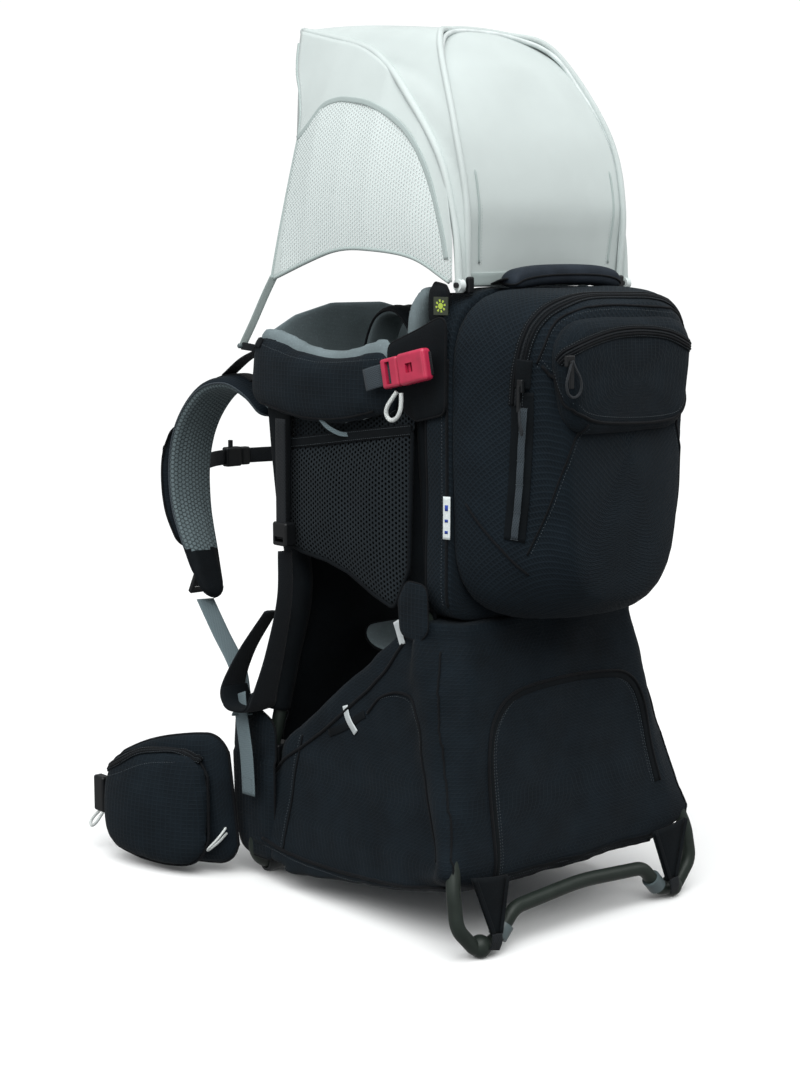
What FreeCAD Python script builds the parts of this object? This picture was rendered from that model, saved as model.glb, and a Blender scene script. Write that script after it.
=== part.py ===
import FreeCAD, Part

import math
import os

# Child carrier backpack with a sunshade, a daypack and a kick-stand, in millimetres.
# +X is the wearer's right, +Y points forward to the wearer, +Z is up, and the floor is z = 0.

V = FreeCAD.Vector

# ---------------------------------------------------------------- driving dimensions
Y_SHIFT = -87.25           # moves the finished model so that its box is centred on y = 0

FRAME_R = 8.0              # outer radius of the front frame and stand tubes
RAIL_R = 7.0               # outer radius of the side rails
CROSS_R = 6.0              # radius of the cross tubes
WALL = 1.4                 # tube wall
HALF_WIDTH = 132.0         # front uprights, centre to centre of the carrier
COCKPIT_X = 140.0          # side rails at the rim

PIVOT_Y = -86.0            # kick-stand pivot
PIVOT_Z = 350.0
PIN_R = 4.0
PIN_FIT = 0.05             # running clearance on the radius
LUG_X = (139.0, 151.0)     # stand lug, between the clevis plates
PLATE_T = 3.0
PLATE_GAP = 0.6

FOOT_Y = -190.0            # rear ground contact
FOOT_X = 155.0
KNUCKLE_R = 12.6
FRONT_FOOT_Y = 198.0
FRONT_FOOT_R = 11.6

PACK_BACK_Y = -134.5       # daypack plane against the carrier
PACK_FACE_Y = -251.0        # front face of the daypack
POCKET_FACE_Y = -264.0      # front face of its pocket

HUB_Y = -125.0             # sunshade hubs
HUB_Z = 715.0
HOOP_R = 2.6
REAR_HOOP_X = 117.0
CLOTH = 2.0                # sunshade cloth as a solid
FRONT_HOOP_X = 129.0

WEB = 25.0                 # harness webbing
WEB_T = 2.0
NARROW = 20.0

nodes = {}


# ---------------------------------------------------------------- helpers
def add(name, *shapes):
    """Keep the shapes as one node, as a compound when it is several solids."""
    shapes = list(shapes)
    nodes[name] = shapes[0] if len(shapes) == 1 else Part.makeCompound(shapes)


def mirrored(shape):
    return shape.mirror(V(0, 0, 0), V(1, 0, 0))


def pair(name, shape):
    """Left and right copies of a shape, each a node of its own."""
    add(name + "_left", shape)
    add(name + "_right", mirrored(shape))


def both(name, *shapes):
    """Left and right copies together in one node."""
    add(name, *(list(shapes) + [mirrored(s) for s in shapes]))


def route(points, radii):
    """Straight runs joined by tangent arcs, one radius for each inner point."""
    points = [V(*p) for p in points]
    edges = []
    start = points[0]
    for before, corner, after, radius in zip(points, points[1:], points[2:], radii):
        a = (before - corner).normalize()
        b = (after - corner).normalize()
        half_turn = (math.pi - a.getAngle(b)) / 2
        reach = radius * math.tan(half_turn)
        first = corner + a * reach
        last = corner + b * reach
        middle = corner + (a + b).normalize() * (radius / math.cos(half_turn) - radius)
        if (first - start).Length > 0.01:
            edges.append(Part.makeLine(start, first))
        edges.append(Part.Arc(first, middle, last).toShape())
        start = last
    edges.append(Part.makeLine(start, points[-1]))
    return Part.Wire(edges)


def rod(points, radii, r):
    """A solid round bar along the route."""
    spine = route(points, radii)
    ring = Part.Wire(Part.makeCircle(r, V(*points[0]), V(*points[1]) - V(*points[0])))
    return spine.makePipeShell([ring], True, False)


def tube(points, radii, r, wall=WALL):
    """A hollow round tube along the route."""
    return rod(points, radii, r).cut(rod(points, radii, r - wall))


def cylinder(radius, start, end):
    start, end = V(*start), V(*end)
    return Part.makeCylinder(radius, (end - start).Length, start, end - start)


def box(x, y, z):
    """A block from its low and high limits on each axis."""
    return Part.makeBox(x[1] - x[0], y[1] - y[0], z[1] - z[0], V(x[0], y[0], z[0]))


def rounded(shape, radius, along=None):
    """Round every edge, or only the straight edges along one axis."""
    edges = shape.Edges
    if along is not None:
        edges = [e for e in edges if abs(abs(e.tangentAt(e.FirstParameter).dot(along)) - 1) < 1e-6]
    return shape.makeFillet(radius, edges)


def plate_yz(outline, x0, x1):
    """A flat plate from a (y, z) outline, between two x values."""
    loop = [V(x0, y, z) for y, z in outline]
    face = Part.Face(Part.makePolygon(loop + loop[:1]))
    return face.extrude(V(x1 - x0, 0, 0))


def plate_xz(outline, y0, y1):
    """A flat plate from an (x, z) outline, between two y values."""
    loop = [V(x, y0, z) for x, z in outline]
    face = Part.Face(Part.makePolygon(loop + loop[:1]))
    return face.extrude(V(0, y1 - y0, 0))


def ring_wire(centre, u, v, width, height, corner, low_corner=None, taper=1.0):
    """A rounded rectangle in the plane of unit vectors u and v, narrowed at its low side."""
    centre, u, v = V(*centre), V(*u), V(*v)
    a, b = width / 2, height / 2
    limit = 0.98 * min(a, b)
    high = min(corner, limit)
    low = min(low_corner or corner, limit)
    share = 1 - math.sqrt(0.5)

    def at(x, y):
        return centre + u * x + v * y

    corners = []
    for sx, sy, first_is_side in ((1, 1, True), (-1, 1, False), (-1, -1, True), (1, -1, False)):
        r = high if sy > 0 else low
        wide = a if sy > 0 else a * taper
        side = at(sx * wide, sy * (b - r))
        end = at(sx * (wide - r), sy * b)
        middle = at(sx * (wide - r * share), sy * (b - r * share))
        first, last = (side, end) if first_is_side else (end, side)
        corners.append((first, middle, last))
    edges = []
    for i, (first, middle, last) in enumerate(corners):
        edges.append(Part.Arc(first, middle, last).toShape())
        edges.append(Part.makeLine(last, corners[(i + 1) % 4][0]))
    return Part.Wire(edges)


def band(stations, across, corner=3.0, ruled=False):
    """A strap or pad through stations of (centre, width, thickness), its width along `across`."""
    across = V(*across).normalize()
    wires = []
    for i, (centre, width, thick) in enumerate(stations):
        before = V(*stations[max(i - 1, 0)][0])
        after = V(*stations[min(i + 1, len(stations) - 1)][0])
        heading = (after - before).normalize()
        out = heading.cross(across).normalize()
        flat = out.cross(heading).normalize()
        wires.append(ring_wire(centre, flat, out, width, thick, min(corner, thick * 0.45)))
    return Part.makeLoft(wires, True, ruled)


def webbing(points, across, width=WEB, thick=WEB_T):
    """Flat webbing through a few points."""
    return band([(p, width, thick) for p in points], across, corner=0.6, ruled=True)


def loft_y(stations):
    """A bag form through rings (y, half width, z0, z1, top corner, bottom corner, taper)."""
    wires = []
    for y, half_x, z0, z1, top, bottom, taper in stations:
        centre = (0, y, (z0 + z1) / 2)
        ring = ring_wire(centre, (1, 0, 0), (0, 0, 1), 2 * half_x, z1 - z0, top, bottom, taper)
        wires.append(ring)
    return Part.makeLoft(wires, True, False)


# ---------------------------------------------------------------- frame
def front_frame():
    """U-shaped front tube: two uprights behind the back panel and a cross run on the floor."""
    left = [(-HALF_WIDTH, 184, 606), (-HALF_WIDTH, 145, 345), (-172, FRONT_FOOT_Y, 11)]
    right = [(-x, y, z) for x, y, z in reversed(left)]
    add("front_frame_tube", tube(left + right, [180, 30, 30, 180], FRAME_R))
    sleeve = cylinder(FRONT_FOOT_R, (-150, FRONT_FOOT_Y, 11), (-122, FRONT_FOOT_Y, 11))
    sleeve = sleeve.cut(cylinder(FRAME_R, (-151, FRONT_FOOT_Y, 11), (-121, FRONT_FOOT_Y, 11)))
    both("front_feet", above_floor(rounded_rim(sleeve, 1.5)))


def rounded_rim(shape, radius):
    """Round the outermost circular edges of a sleeve."""
    widest = max(e.Curve.Radius for e in shape.Edges if hasattr(e.Curve, "Radius"))
    rims = [e for e in shape.Edges if hasattr(e.Curve, "Radius") and e.Curve.Radius > widest - 0.01]
    return shape.makeFillet(radius, [e for e in rims if e.Closed and e.Length > 6 * radius])


def above_floor(shape):
    """Cut a worn flat where a foot rests on the floor."""
    return shape.cut(box((-300, 300), (-300, 300), (-30, 0)))


def side_rails():
    """Bent tube on each side: cockpit rim, rear upright and the strut down to the base."""
    points = [
        (-COCKPIT_X, 168, 604),
        (-COCKPIT_X, -79, 640),
        (-124, -83, 352),
        (-146, 168, 148),
    ]
    both("side_rails", tube(points, [42, 34], RAIL_R))
    upper = rounded(box((-149, -128), (160, 196), (590, 616)), 3)
    lower = rounded(box((-158, -133), (160, 196), (128, 166)), 3)
    both("frame_joints", upper, lower)


def cross_tubes():
    upper = cylinder(CROSS_R, (-125.5, 171, 548), (125.5, 171, 548))
    rear = cylinder(CROSS_R, (-122, -79, 420), (122, -79, 420))
    add("cross_tubes", upper, rear)


def pivots():
    """Clevis plates, bridge blocks and pins that carry the kick-stand."""
    inner = (-LUG_X[0] + PLATE_GAP, -LUG_X[0] + PLATE_GAP + PLATE_T)
    outer = (-LUG_X[1] - PLATE_GAP - PLATE_T, -LUG_X[1] - PLATE_GAP)
    outline = [
        (PIVOT_Y - 12, PIVOT_Z - 12),
        (PIVOT_Y + 12, PIVOT_Z - 12),
        (PIVOT_Y + 12, PIVOT_Z + 34),
        (PIVOT_Y - 12, PIVOT_Z + 34),
    ]
    along_x = V(1, 0, 0)
    clevis = rounded(plate_yz(outline, *inner), 8, along_x)
    clevis = clevis.fuse(rounded(plate_yz(outline, *outer), 8, along_x))
    bridge = box((outer[0], -122), (PIVOT_Y - 9, PIVOT_Y + 9), (PIVOT_Z + 16, PIVOT_Z + 30))
    clevis = clevis.fuse(bridge).removeSplitter()
    bore = cylinder(PIN_R, (-160, PIVOT_Y, PIVOT_Z), (-130, PIVOT_Y, PIVOT_Z))
    both("pivot_brackets", clevis.cut(bore))
    pin = cylinder(PIN_R, (outer[0], PIVOT_Y, PIVOT_Z), (inner[1], PIVOT_Y, PIVOT_Z))
    head = cylinder(6.5, (outer[0] - 2.5, PIVOT_Y, PIVOT_Z), (outer[0], PIVOT_Y, PIVOT_Z))
    both("pivot_pins", pin.fuse(head).removeSplitter())


# ---------------------------------------------------------------- kick-stand
def stand():
    """One bent tube from pivot to pivot, with round knuckles that rest on the floor."""
    lug_x = -(LUG_X[0] + LUG_X[1]) / 2
    left = [
        (lug_x, PIVOT_Y - 7, PIVOT_Z - 20),
        (-166, -158, 148),
        (-187, -182, 76),
        (-188, -189, 38),
        (-FOOT_X - 6, FOOT_Y, 9),
        (-FOOT_X + 22, FOOT_Y, 13),
        (-104, FOOT_Y, 44),
    ]
    right = [(-x, y, z) for x, y, z in reversed(left)]
    middle = [(0, FOOT_Y, 51.5)]
    radii = [60, 70, 26, 15, 18, 28, 300, 28, 18, 15, 26, 70, 60]
    bar = tube(left + middle + right, radii, FRAME_R)
    lug = cylinder(11.0, (-LUG_X[1], PIVOT_Y, PIVOT_Z), (-LUG_X[0], PIVOT_Y, PIVOT_Z))
    neck = plate_yz(
        [
            (PIVOT_Y - 9, PIVOT_Z + 2),
            (PIVOT_Y + 8, PIVOT_Z - 5),
            (PIVOT_Y - 2, PIVOT_Z - 34),
            (PIVOT_Y - 18, PIVOT_Z - 29),
        ],
        -LUG_X[1],
        -LUG_X[0],
    )
    bore = cylinder(PIN_R + PIN_FIT, (-160, PIVOT_Y, PIVOT_Z), (-130, PIVOT_Y, PIVOT_Z))
    lug = lug.fuse(neck).removeSplitter().cut(bore)
    add("stand_tube", bar.fuse([lug, mirrored(lug)]).removeSplitter())
    both("stand_knuckles", above_floor(Part.makeSphere(KNUCKLE_R, V(-FOOT_X, FOOT_Y, 12.0))))
    start = V(-FOOT_X + 22, FOOT_Y, 13)
    run = V(-104, FOOT_Y, 44) - start
    both("stand_clips", cylinder(11.0, tuple(start + run * 0.12), tuple(start + run * 0.5)))


# ---------------------------------------------------------------- lower bag
def bag_side_x(z):
    """Half width of the lower bag: it flares towards the floor."""
    return 150.0 + (345.0 - z) * 0.085


def bag_form(outline, inset):
    """A bag piece from its side outline, cut to the flared plan of the bag."""
    low, high = 15.0, 360.0
    flare = plate_xz(
        [
            (-bag_side_x(low) + inset, low),
            (bag_side_x(low) - inset, low),
            (bag_side_x(high) - inset, high),
            (-bag_side_x(high) + inset, high),
        ],
        -230,
        270,
    )
    return plate_yz(outline, -220, 220).common(flare)


def lower_bag():
    """Storage bag below the seat: fixed front, folding middle, and the panel on the stand."""
    front = [(-42, 289), (212, 100), (224, 82), (196, 46), (130, 22), (76, 24)]
    add("lower_bag_front", bag_form(front, 2))
    middle = [(-78, 331), (-43, 291), (74, 25), (17, 31), (-71, 45), (-150, 64), (-162, 92)]
    add("lower_bag_middle", bag_form(middle, 2))
    rear = [(-85, 330), (-142, 326), (-186, 92), (-188, 68), (-172, 68), (-168, 92)]
    add("lower_bag_rear", bag_form(rear, 22))


# ---------------------------------------------------------------- wearer's back system
def back_system():
    """Ventilated back panel, the lumbar pad and the wings that carry the hip belt."""
    stations = [
        ((0, 214, 122), 236, 12),
        ((0, 190, 196), 236, 13),
        ((0, 168, 268), 236, 13),
        ((0, 160, 338), 236, 13),
        ((0, 172, 434), 236, 13),
        ((0, 188, 520), 232, 13),
    ]
    add("back_panel", band(stations, (1, 0, 0), 5))
    lumbar = [((0, 238, 40), 250, 18), ((0, 242, 110), 262, 26), ((0, 224, 186), 240, 16)]
    root = rounded(box((-186, -172), (148, 195), (28, 184)), 6)
    add("lumbar_pad", band(lumbar, (1, 0, 0), 7), root, mirrored(root))


def harness():
    """Yoke and padded shoulder straps; they slide up and down together to fit the torso."""
    yoke = [((0, 213.4, 470), 190, 7), ((0, 216, 520), 214, 8), ((0, 224, 566), 236, 9)]
    add("harness_yoke", band(yoke, (1, 0, 0), 4))
    line = [
        ((-98, 229, 556), 58, 15),
        ((-103, 254, 580), 62, 17),
        ((-108, 290, 592), 64, 18),
        ((-113, 335, 580), 64, 19),
        ((-118, 372, 540), 64, 19),
        ((-122, 386, 490), 62, 18),
        ((-126, 378, 430), 58, 17),
        ((-131, 348, 372), 48, 15),
        ((-134, 318, 322), 34, 11),
    ]
    pair("shoulder_strap", band(line, (1, 0, 0), 6))
    pouch = [
        ((-119, 390, 532), 50, 12),
        ((-122, 405, 490), 56, 20),
        ((-126, 397, 430), 54, 22),
        ((-130, 371, 382), 40, 12),
    ]
    both("strap_pouches", band(pouch, (1, 0, 0), 5))
    ladder = box((-15, 15), (-3.5, 3.5), (-14, 14))
    slot = box((-11, 11), (-5, 5), (2, 8))
    ladder = rounded(ladder, 2).cut(slot).cut(slot.translated(V(0, 0, -11)))
    ladder.rotate(V(0, 0, 0), V(1, 0, 0), 28)
    ladder.translate(V(-136, 344, 338))
    both("strap_adjusters", ladder)
    tail = [(-138, 334, 318), (-146, 254, 242), (-150, 240, 204), (-182, 198, 190)]
    lower = webbing(tail, (0.25, 1, 0.6))
    end = webbing([(-188.8, 186, 176), (-189, 180, 142), (-189, 176, 108)], (0, 1, -0.15), WEB, 3.0)
    lifter = webbing([(-128, 214, 632), (-124, 262, 628), (-116, 312, 612)], (1, 0, 0), NARROW, 2.4)
    both("harness_webbing", lower, end, lifter)


def sternum():
    """Sternum strap with its side-release buckle and a whistle stub."""
    half = [(-72, 416, 482), (-50, 431, 482), (-28, 439.5, 482)]
    add("sternum_strap_left", webbing(half, (0, 0, 1), NARROW))
    female = rounded(box((-29, -4), (433, 446), (469, 495)), 3)
    mouth = box((-15, -3), (436, 443), (473, 491))
    stub = cylinder(3.2, (-19, 439.5, 494), (-19, 439.5, 504))
    add("sternum_female", female.cut(mouth).fuse(stub).removeSplitter())
    body = rounded(box((-3.4, 10), (434, 445), (470, 494)), 2.5)
    prong = box((-13, 0), (437.5, 441.5), (477, 487))
    add("sternum_male", body.fuse(prong).removeSplitter())
    other = [(9, 439.5, 482), (50, 431, 482), (70, 418, 482)]
    add("sternum_strap_right", webbing(other, (0, 0, 1), NARROW))


def hip_belt():
    """Padded wings that splay outwards, each with a pouch, and one half of the buckle each."""
    wing = [
        ((-190, 207, 96), 158, 22),
        ((-206, 256, 90), 158, 26),
        ((-222, 312, 82), 146, 26),
        ((-234, 362, 74), 118, 22),
        ((-239, 392, 70), 92, 16),
    ]
    strap = webbing([(-238, 376, 70), (-241, 390, 70), (-246, 404, 70)], (0, 0, 1), 38, 2.4)
    pair("hip_wing", band(wing, (0, 0, 1), 9).fuse(strap).removeSplitter())
    pouch = [
        ((-215, 226, 84), 116, 16),
        ((-232, 258, 82), 140, 28),
        ((-250, 316, 78), 134, 34),
        ((-258, 362, 72), 108, 26),
        ((-258, 380, 70), 74, 12),
    ]
    pair("hip_pouch", band(pouch, (0.1, 0, 1), 12))
    plate_y = (401, 423)
    plate = rounded(box((-253, -240), plate_y, (47, 93)), 3)
    add("hip_buckle_female", plate.cut(box((-249, -244), (406, 424), (52, 88))))
    male = rounded(box((240, 253), plate_y, (47, 93)), 3)
    for z in (56, 77):
        male = male.fuse(box((243, 250), (422, 436), (z, z + 7)))
    add("hip_buckle_male", male.removeSplitter())


# ---------------------------------------------------------------- cockpit
def cockpit():
    """Padded rim: side pads over the rails, the front pad, and the pads behind the child."""
    side = [
        ((-157, 192, 596), 92, 20),
        ((-161, 150, 596), 96, 26),
        ((-163, 90, 595), 98, 30),
        ((-161, 30, 600), 92, 28),
        ((-158, -30, 606), 84, 22),
        ((-156, -48, 608), 76, 14),
    ]
    both("cockpit_side_pads", band(side, (0, 0, 1), 10))
    tab = [(-50, 654), (-50, 578), (-84, 560), (-130, 574), (-130, 676), (-88, 668)]
    both("side_tabs", plate_yz(tab, -156, -150))
    crest = [(-146, 560), (146, 560), (148, 648), (96, 676), (40, 690), (-40, 690), (-96, 676), (-148, 648)]
    add("front_pad", plate_xz(crest, 196.4, 206))
    back = rounded(box((-128, 128), (-68, -50), (345, 704)), 7)
    add("child_back_pad", back)
    head = [((0, -38, 560), 150, 16), ((0, -36, 630), 176, 20), ((0, -40, 704), 150, 14)]
    add("head_pad", band(head, (1, 0, 0), 6))


def seat():
    """Saddle between the child's legs; it slides up and down to set the seat height."""
    saddle = [
        ((0, -40, 318), 150, 16),
        ((0, 10, 292), 124, 18),
        ((0, 70, 276), 92, 18),
        ((0, 120, 278), 84, 16),
        ((0, 142, 300), 92, 12),
    ]
    add("seat_saddle", band(saddle, (1, 0, 0), 6))


def child_harness():
    pad = [
        ((-64, -20, 560), 44, 11),
        ((-64, -8, 640), 46, 12),
        ((-64, 24, 682), 46, 12),
        ((-64, 62, 676), 46, 12),
        ((-62, 86, 630), 44, 11),
        ((-56, 92, 560), 40, 10),
        ((-46, 90, 500), 34, 9),
    ]
    both("child_shoulder_pads", band(pad, (1, 0, 0), 4))
    female = rounded(box((-34, 6), (98, 110), (522, 548)), 3)
    add("chest_clip_female", female.cut(box((-6, 8), (101, 107), (526, 544))))
    male = rounded(box((6.6, 30), (99, 109), (523, 547)), 2.5)
    add("chest_clip_male", male.fuse(box((-4, 8), (102, 106), (530, 540))).removeSplitter())


def side_release():
    """One red side-release buckle on the cockpit, tilted along its strap."""
    body = rounded(box((-6.5, 6.5), (-36, 8), (-17, 17)), 4)
    body = body.cut(box((-3.2, 3.2), (-14, 9), (-13, 13)))
    body = body.cut(box((-7.5, -3), (-17, -6), (-5, 5)))
    plug = rounded(box((-5.5, 5.5), (8.5, 36), (-16, 16)), 3)
    plug = plug.cut(box((-8, 8), (20, 28), (-12, 12)))
    plug = plug.fuse(box((-2.4, 2.4), (-10, 12), (-11, 11))).removeSplitter()
    placed = []
    for piece in (body, plug):
        piece = piece.copy()
        piece.rotate(V(0, 0, 0), V(1, 0, 0), -12)
        piece.translate(V(-175, -92, 627))
        placed.append(piece)
    return placed


def side_details():
    """Side buckles, mesh pockets, stirrups and their ladder locks."""
    body, plug = side_release()
    both("side_buckle_females", body)
    pair("side_buckle_male", plug)
    mesh = [
        (-77, 562), (143, 529), (146, 478), (142, 412), (116, 406),
        (70, 401), (32, 392), (-13, 372), (-47, 360), (-71, 405),
    ]
    both("mesh_pockets", plate_yz(mesh, -154, -150))
    hanger = [
        ((-168, 130, 408), 20, 3),
        ((-170, 129, 350), 22, 3),
        ((-178, 138, 284), 28, 4),
        ((-184, 150, 236), 34, 5),
        ((-184, 166, 213), 36, 6),
        ((-184, 200, 212), 36, 6),
        ((-184, 213, 232), 34, 5),
        ((-180, 190, 280), 26, 4),
        ((-174, 148, 332), 20, 3),
    ]
    pair("stirrup", band(hanger, (1, 0, 0), 1.2, ruled=True))
    lock = rounded(box((-176, -160), (118, 144), (412, 440)), 3)
    lock = lock.cut(box((-180, -155), (123, 139), (417, 423)))
    both("stirrup_locks", lock)


# ---------------------------------------------------------------- rear body and daypack
def rear_body():
    """Padded rear panel, relieved round the kick-stand lugs and the sunshade eyes."""
    upper = rounded(box((-147, 147), (-132, -89), (352, 712)), 10)
    lug_room = box((-150, -131), (-101, -86), (350, 387))
    eye_room = box((-136, -122.5), (-134, -115), (707, 714))
    for room in (lug_room, eye_room):
        upper = upper.cut(room).cut(mirrored(room))
    add("rear_body", upper)


def daypack():
    shell = loft_y(
        [
            (PACK_BACK_Y, 137, 359, 703, 52, 84, 0.96),
            (-170, 141, 353, 711, 58, 96, 0.92),
            (-215, 126, 361, 707, 60, 94, 0.86),
            (PACK_FACE_Y, 100, 385, 691, 60, 72, 0.78),
        ]
    )
    add("daypack_body", shell)
    pocket = loft_y(
        [
            (PACK_FACE_Y - 0.3, 92, 562, 680, 44, 40, 0.94),
            (POCKET_FACE_Y, 84, 568, 672, 40, 36, 0.94),
        ]
    )
    add("daypack_pocket", pocket)


def zips():
    """Sliders of the main zip and of the pocket zip; each follows an arc."""
    side = -125.6
    body = rounded(box((side - 5, side), (-221, -213), (606, 620)), 1.5)
    tag = rounded(box((side - 7, side - 4.2), (-219, -215), (586, 614)), 1)
    add("main_zip_slider", body.fuse(tag).removeSplitter())
    face = POCKET_FACE_Y - 0.5
    body = rounded(box((-114, -102), (face - 5, face), (634, 646)), 1.5)
    tag = rounded(box((-111, -105), (face - 7, face - 4.2), (612, 640)), 1)
    add("pocket_zip_slider", body.fuse(tag).removeSplitter())


def grab_handle():
    """Padded handle on two webbing tabs; it swings up about the tabs' seam."""
    bar = [
        ((-86, -148, 722), 24, 9),
        ((-60, -152, 730), 24, 13),
        ((0, -154, 735), 24, 14),
        ((60, -152, 730), 24, 13),
        ((86, -148, 722), 24, 9),
    ]
    tab = rounded(box((-86, -72), (-150, -126), (714.6, 722)), 1.5)
    grip = band(bar, (0, 1, 0), 4)
    add("grab_handle", grip.fuse([tab, mirrored(tab)]).removeSplitter())


# ---------------------------------------------------------------- sunshade
def shade_hubs():
    stud = cylinder(3.0, (-135, HUB_Y, HUB_Z), (-112, HUB_Y, HUB_Z))
    base = rounded(box((-121, -112.5), (HUB_Y - 6, HUB_Y + 6), (706.2, 724)), 2)
    both("shade_hubs", base.fuse(stud).removeSplitter())


def shade_rear():
    """Rear hoop, leaning forward at its top, with the D-shaped panel inside it."""
    left = [
        (-REAR_HOOP_X, HUB_Y, HUB_Z + 8),
        (-REAR_HOOP_X - 4, -127, 800),
        (-REAR_HOOP_X - 1, -104, 884),
        (-88, -48, 976),
        (-40, -16, 994),
    ]
    right = [(-x, y, z) for x, y, z in reversed(left)]
    add("shade_rear_hoop", rod(left + right, [150, 110, 70, 90, 90, 70, 110, 150], HOOP_R))
    profile = [(-119, 732), (-121, 800), (-97, 884), (-44, 964), (-22, 980)]
    panel = [((0, y, z), 260, 2.4) for y, z in profile]
    sheet = band(panel, (1, 0, 0), 1.0)
    window = [
        (-104, 726), (-112, 800), (-108, 880), (-84, 942), (-40, 974),
        (40, 974), (84, 942), (108, 880), (112, 800), (104, 726),
    ]
    add("shade_rear_panel", sheet.common(plate_xz(window, -200, 60)))



def shade_front():
    """Front hoop: it rises from the hubs, then reaches forward to a narrow brim."""
    legs = [
        (-FRONT_HOOP_X, HUB_Y, HUB_Z),
        (-FRONT_HOOP_X, -118, 776),
        (-FRONT_HOOP_X, -92, 852),
        (-120, -24, 926),
        (-107, 21, 957),
        (-97, 72, 979),
        (-70, 210, 1009),
    ]
    right = [(-x, y, z) for x, y, z in reversed(legs)]
    radii = [160, 120, 150, 200, 240, 9, 9, 240, 200, 150, 120, 160]
    hoop = rod(legs + right, radii, HOOP_R)
    eye = cylinder(6.5, (-FRONT_HOOP_X - 3.5, HUB_Y, HUB_Z), (-FRONT_HOOP_X + 3.5, HUB_Y, HUB_Z))
    bore = cylinder(3.0 + PIN_FIT, (-140, HUB_Y, HUB_Z), (-110, HUB_Y, HUB_Z))
    hoop = hoop.fuse([eye, mirrored(eye)])
    add("shade_front_hoop", hoop.cut(bore.fuse(mirrored(bore))).removeSplitter())


def canopy():
    """Cloth of the shade: the crowned top between the hoops, and a mesh panel on each side."""
    wires = []
    for half, edge_y, edge_z, crown_y, crown_z in (
        (104, -64, 908, -3, 996),
        (99, 20, 954, 40, 1000),
        (90, 74, 978, 84, 1004),
        (78, 131, 994, 134, 1008),
        (64, 204, 1008, 204, 1012),
    ):
        rise = V(0, crown_y - edge_y, crown_z - edge_z)
        thick = V(rise).normalize() * CLOTH
        shares = [i / 8 - 1 for i in range(17)]
        upper = [V(t * half, edge_y, edge_z) + rise * (1 - t * t) for t in shares]
        loop = upper + [p - thick for p in reversed(upper)]
        wires.append(Part.makePolygon(loop + loop[:1]))
    add("shade_top", Part.makeLoft(wires, True, True))

    sections = []
    for y, low, middle, high in (
        (-114, (-134, 722), (-135, 760), (-134, 800)),
        (-64, (-140, 722), (-142, 820), (-129, 880)),
        (2, (-145, 722), (-147, 850), (-118, 941)),
        (54, (-147, 722), (-145, 860), (-106, 969)),
        (108, (-149, 722), (-140, 860), (-95, 987)),
        (160, (-151, 716), (-128, 862), (-85, 998)),
        (214, (-153, 712), (-120, 870), (-74, 1010)),
    ):
        loop = [low, middle, high, (high[0] + 2, high[1]), (middle[0] + 2, middle[1]), (low[0] + 2, low[1])]
        loop = [V(x, y, z) for x, z in loop]
        sections.append(Part.makePolygon(loop + loop[:1]))
    outline = [
        (-112, 731), (-64, 743), (2, 752), (54, 752), (108, 739), (172, 719), (163, 781), (157, 850),
        (153, 894), (174, 932), (193, 960), (211, 1008), (60, 1010), (-60, 960), (-112, 800),
    ]
    panel = Part.makeLoft(sections, True, True).common(plate_yz(outline, -170, -50))
    both("shade_side_mesh", panel)
    tether = webbing([(-152, 168, 716), (-153, 196, 682), (-154, 224, 646)], (1, 0.4, 0.1), 9, 1.6)
    toggle = cylinder(3.2, (-160, 228, 640), (-148, 228, 640))
    both("shade_tethers", tether.fuse(toggle))


def build():
    front_frame()
    side_rails()
    cross_tubes()
    pivots()
    stand()
    lower_bag()
    back_system()
    harness()
    sternum()
    hip_belt()
    cockpit()
    seat()
    child_harness()
    side_details()
    rear_body()
    daypack()
    zips()
    grab_handle()
    shade_hubs()
    shade_rear()
    shade_front()
    canopy()


def write():
    os.makedirs("parts", exist_ok=True)
    for name, shape in nodes.items():
        shape = shape.copy()
        shape.translate(V(0, Y_SHIFT, 0))
        shape.exportStep(os.path.join("parts", name + ".step"))
        volume = sum(solid.Volume for solid in shape.Solids) / 1000
        print(f"{name}: {len(shape.Solids)} solids, {volume:.1f} cm3, valid {shape.isValid()}")
    print(len(nodes), "nodes")


build()
write()
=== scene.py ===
import math

import bmesh
import bpy
import numpy as np
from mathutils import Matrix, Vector
from mathutils.bvhtree import BVHTree


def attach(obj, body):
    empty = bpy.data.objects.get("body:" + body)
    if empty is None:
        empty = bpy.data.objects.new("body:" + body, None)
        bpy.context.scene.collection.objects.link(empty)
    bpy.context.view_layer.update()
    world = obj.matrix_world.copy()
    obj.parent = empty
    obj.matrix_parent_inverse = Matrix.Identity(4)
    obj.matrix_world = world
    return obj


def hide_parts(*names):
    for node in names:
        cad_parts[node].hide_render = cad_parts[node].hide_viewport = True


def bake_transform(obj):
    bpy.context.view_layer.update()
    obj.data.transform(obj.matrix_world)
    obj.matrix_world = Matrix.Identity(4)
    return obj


# Child carrier backpack. Points below are millimetres in the design frame: +X the wearer's left
# and right, +Y towards the wearer, +Z up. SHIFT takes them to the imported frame.
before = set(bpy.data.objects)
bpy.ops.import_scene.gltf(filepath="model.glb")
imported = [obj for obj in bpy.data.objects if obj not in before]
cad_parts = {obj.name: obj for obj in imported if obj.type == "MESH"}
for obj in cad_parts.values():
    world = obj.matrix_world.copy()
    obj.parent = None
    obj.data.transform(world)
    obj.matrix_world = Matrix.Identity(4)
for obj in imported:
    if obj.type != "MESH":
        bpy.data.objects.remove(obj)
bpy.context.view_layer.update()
SHIFT = np.array([0.0, -87.25, 0.0])
SIDEWAYS = np.array([1.0, 0.0, 0.0])
scene = bpy.context.scene

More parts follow.
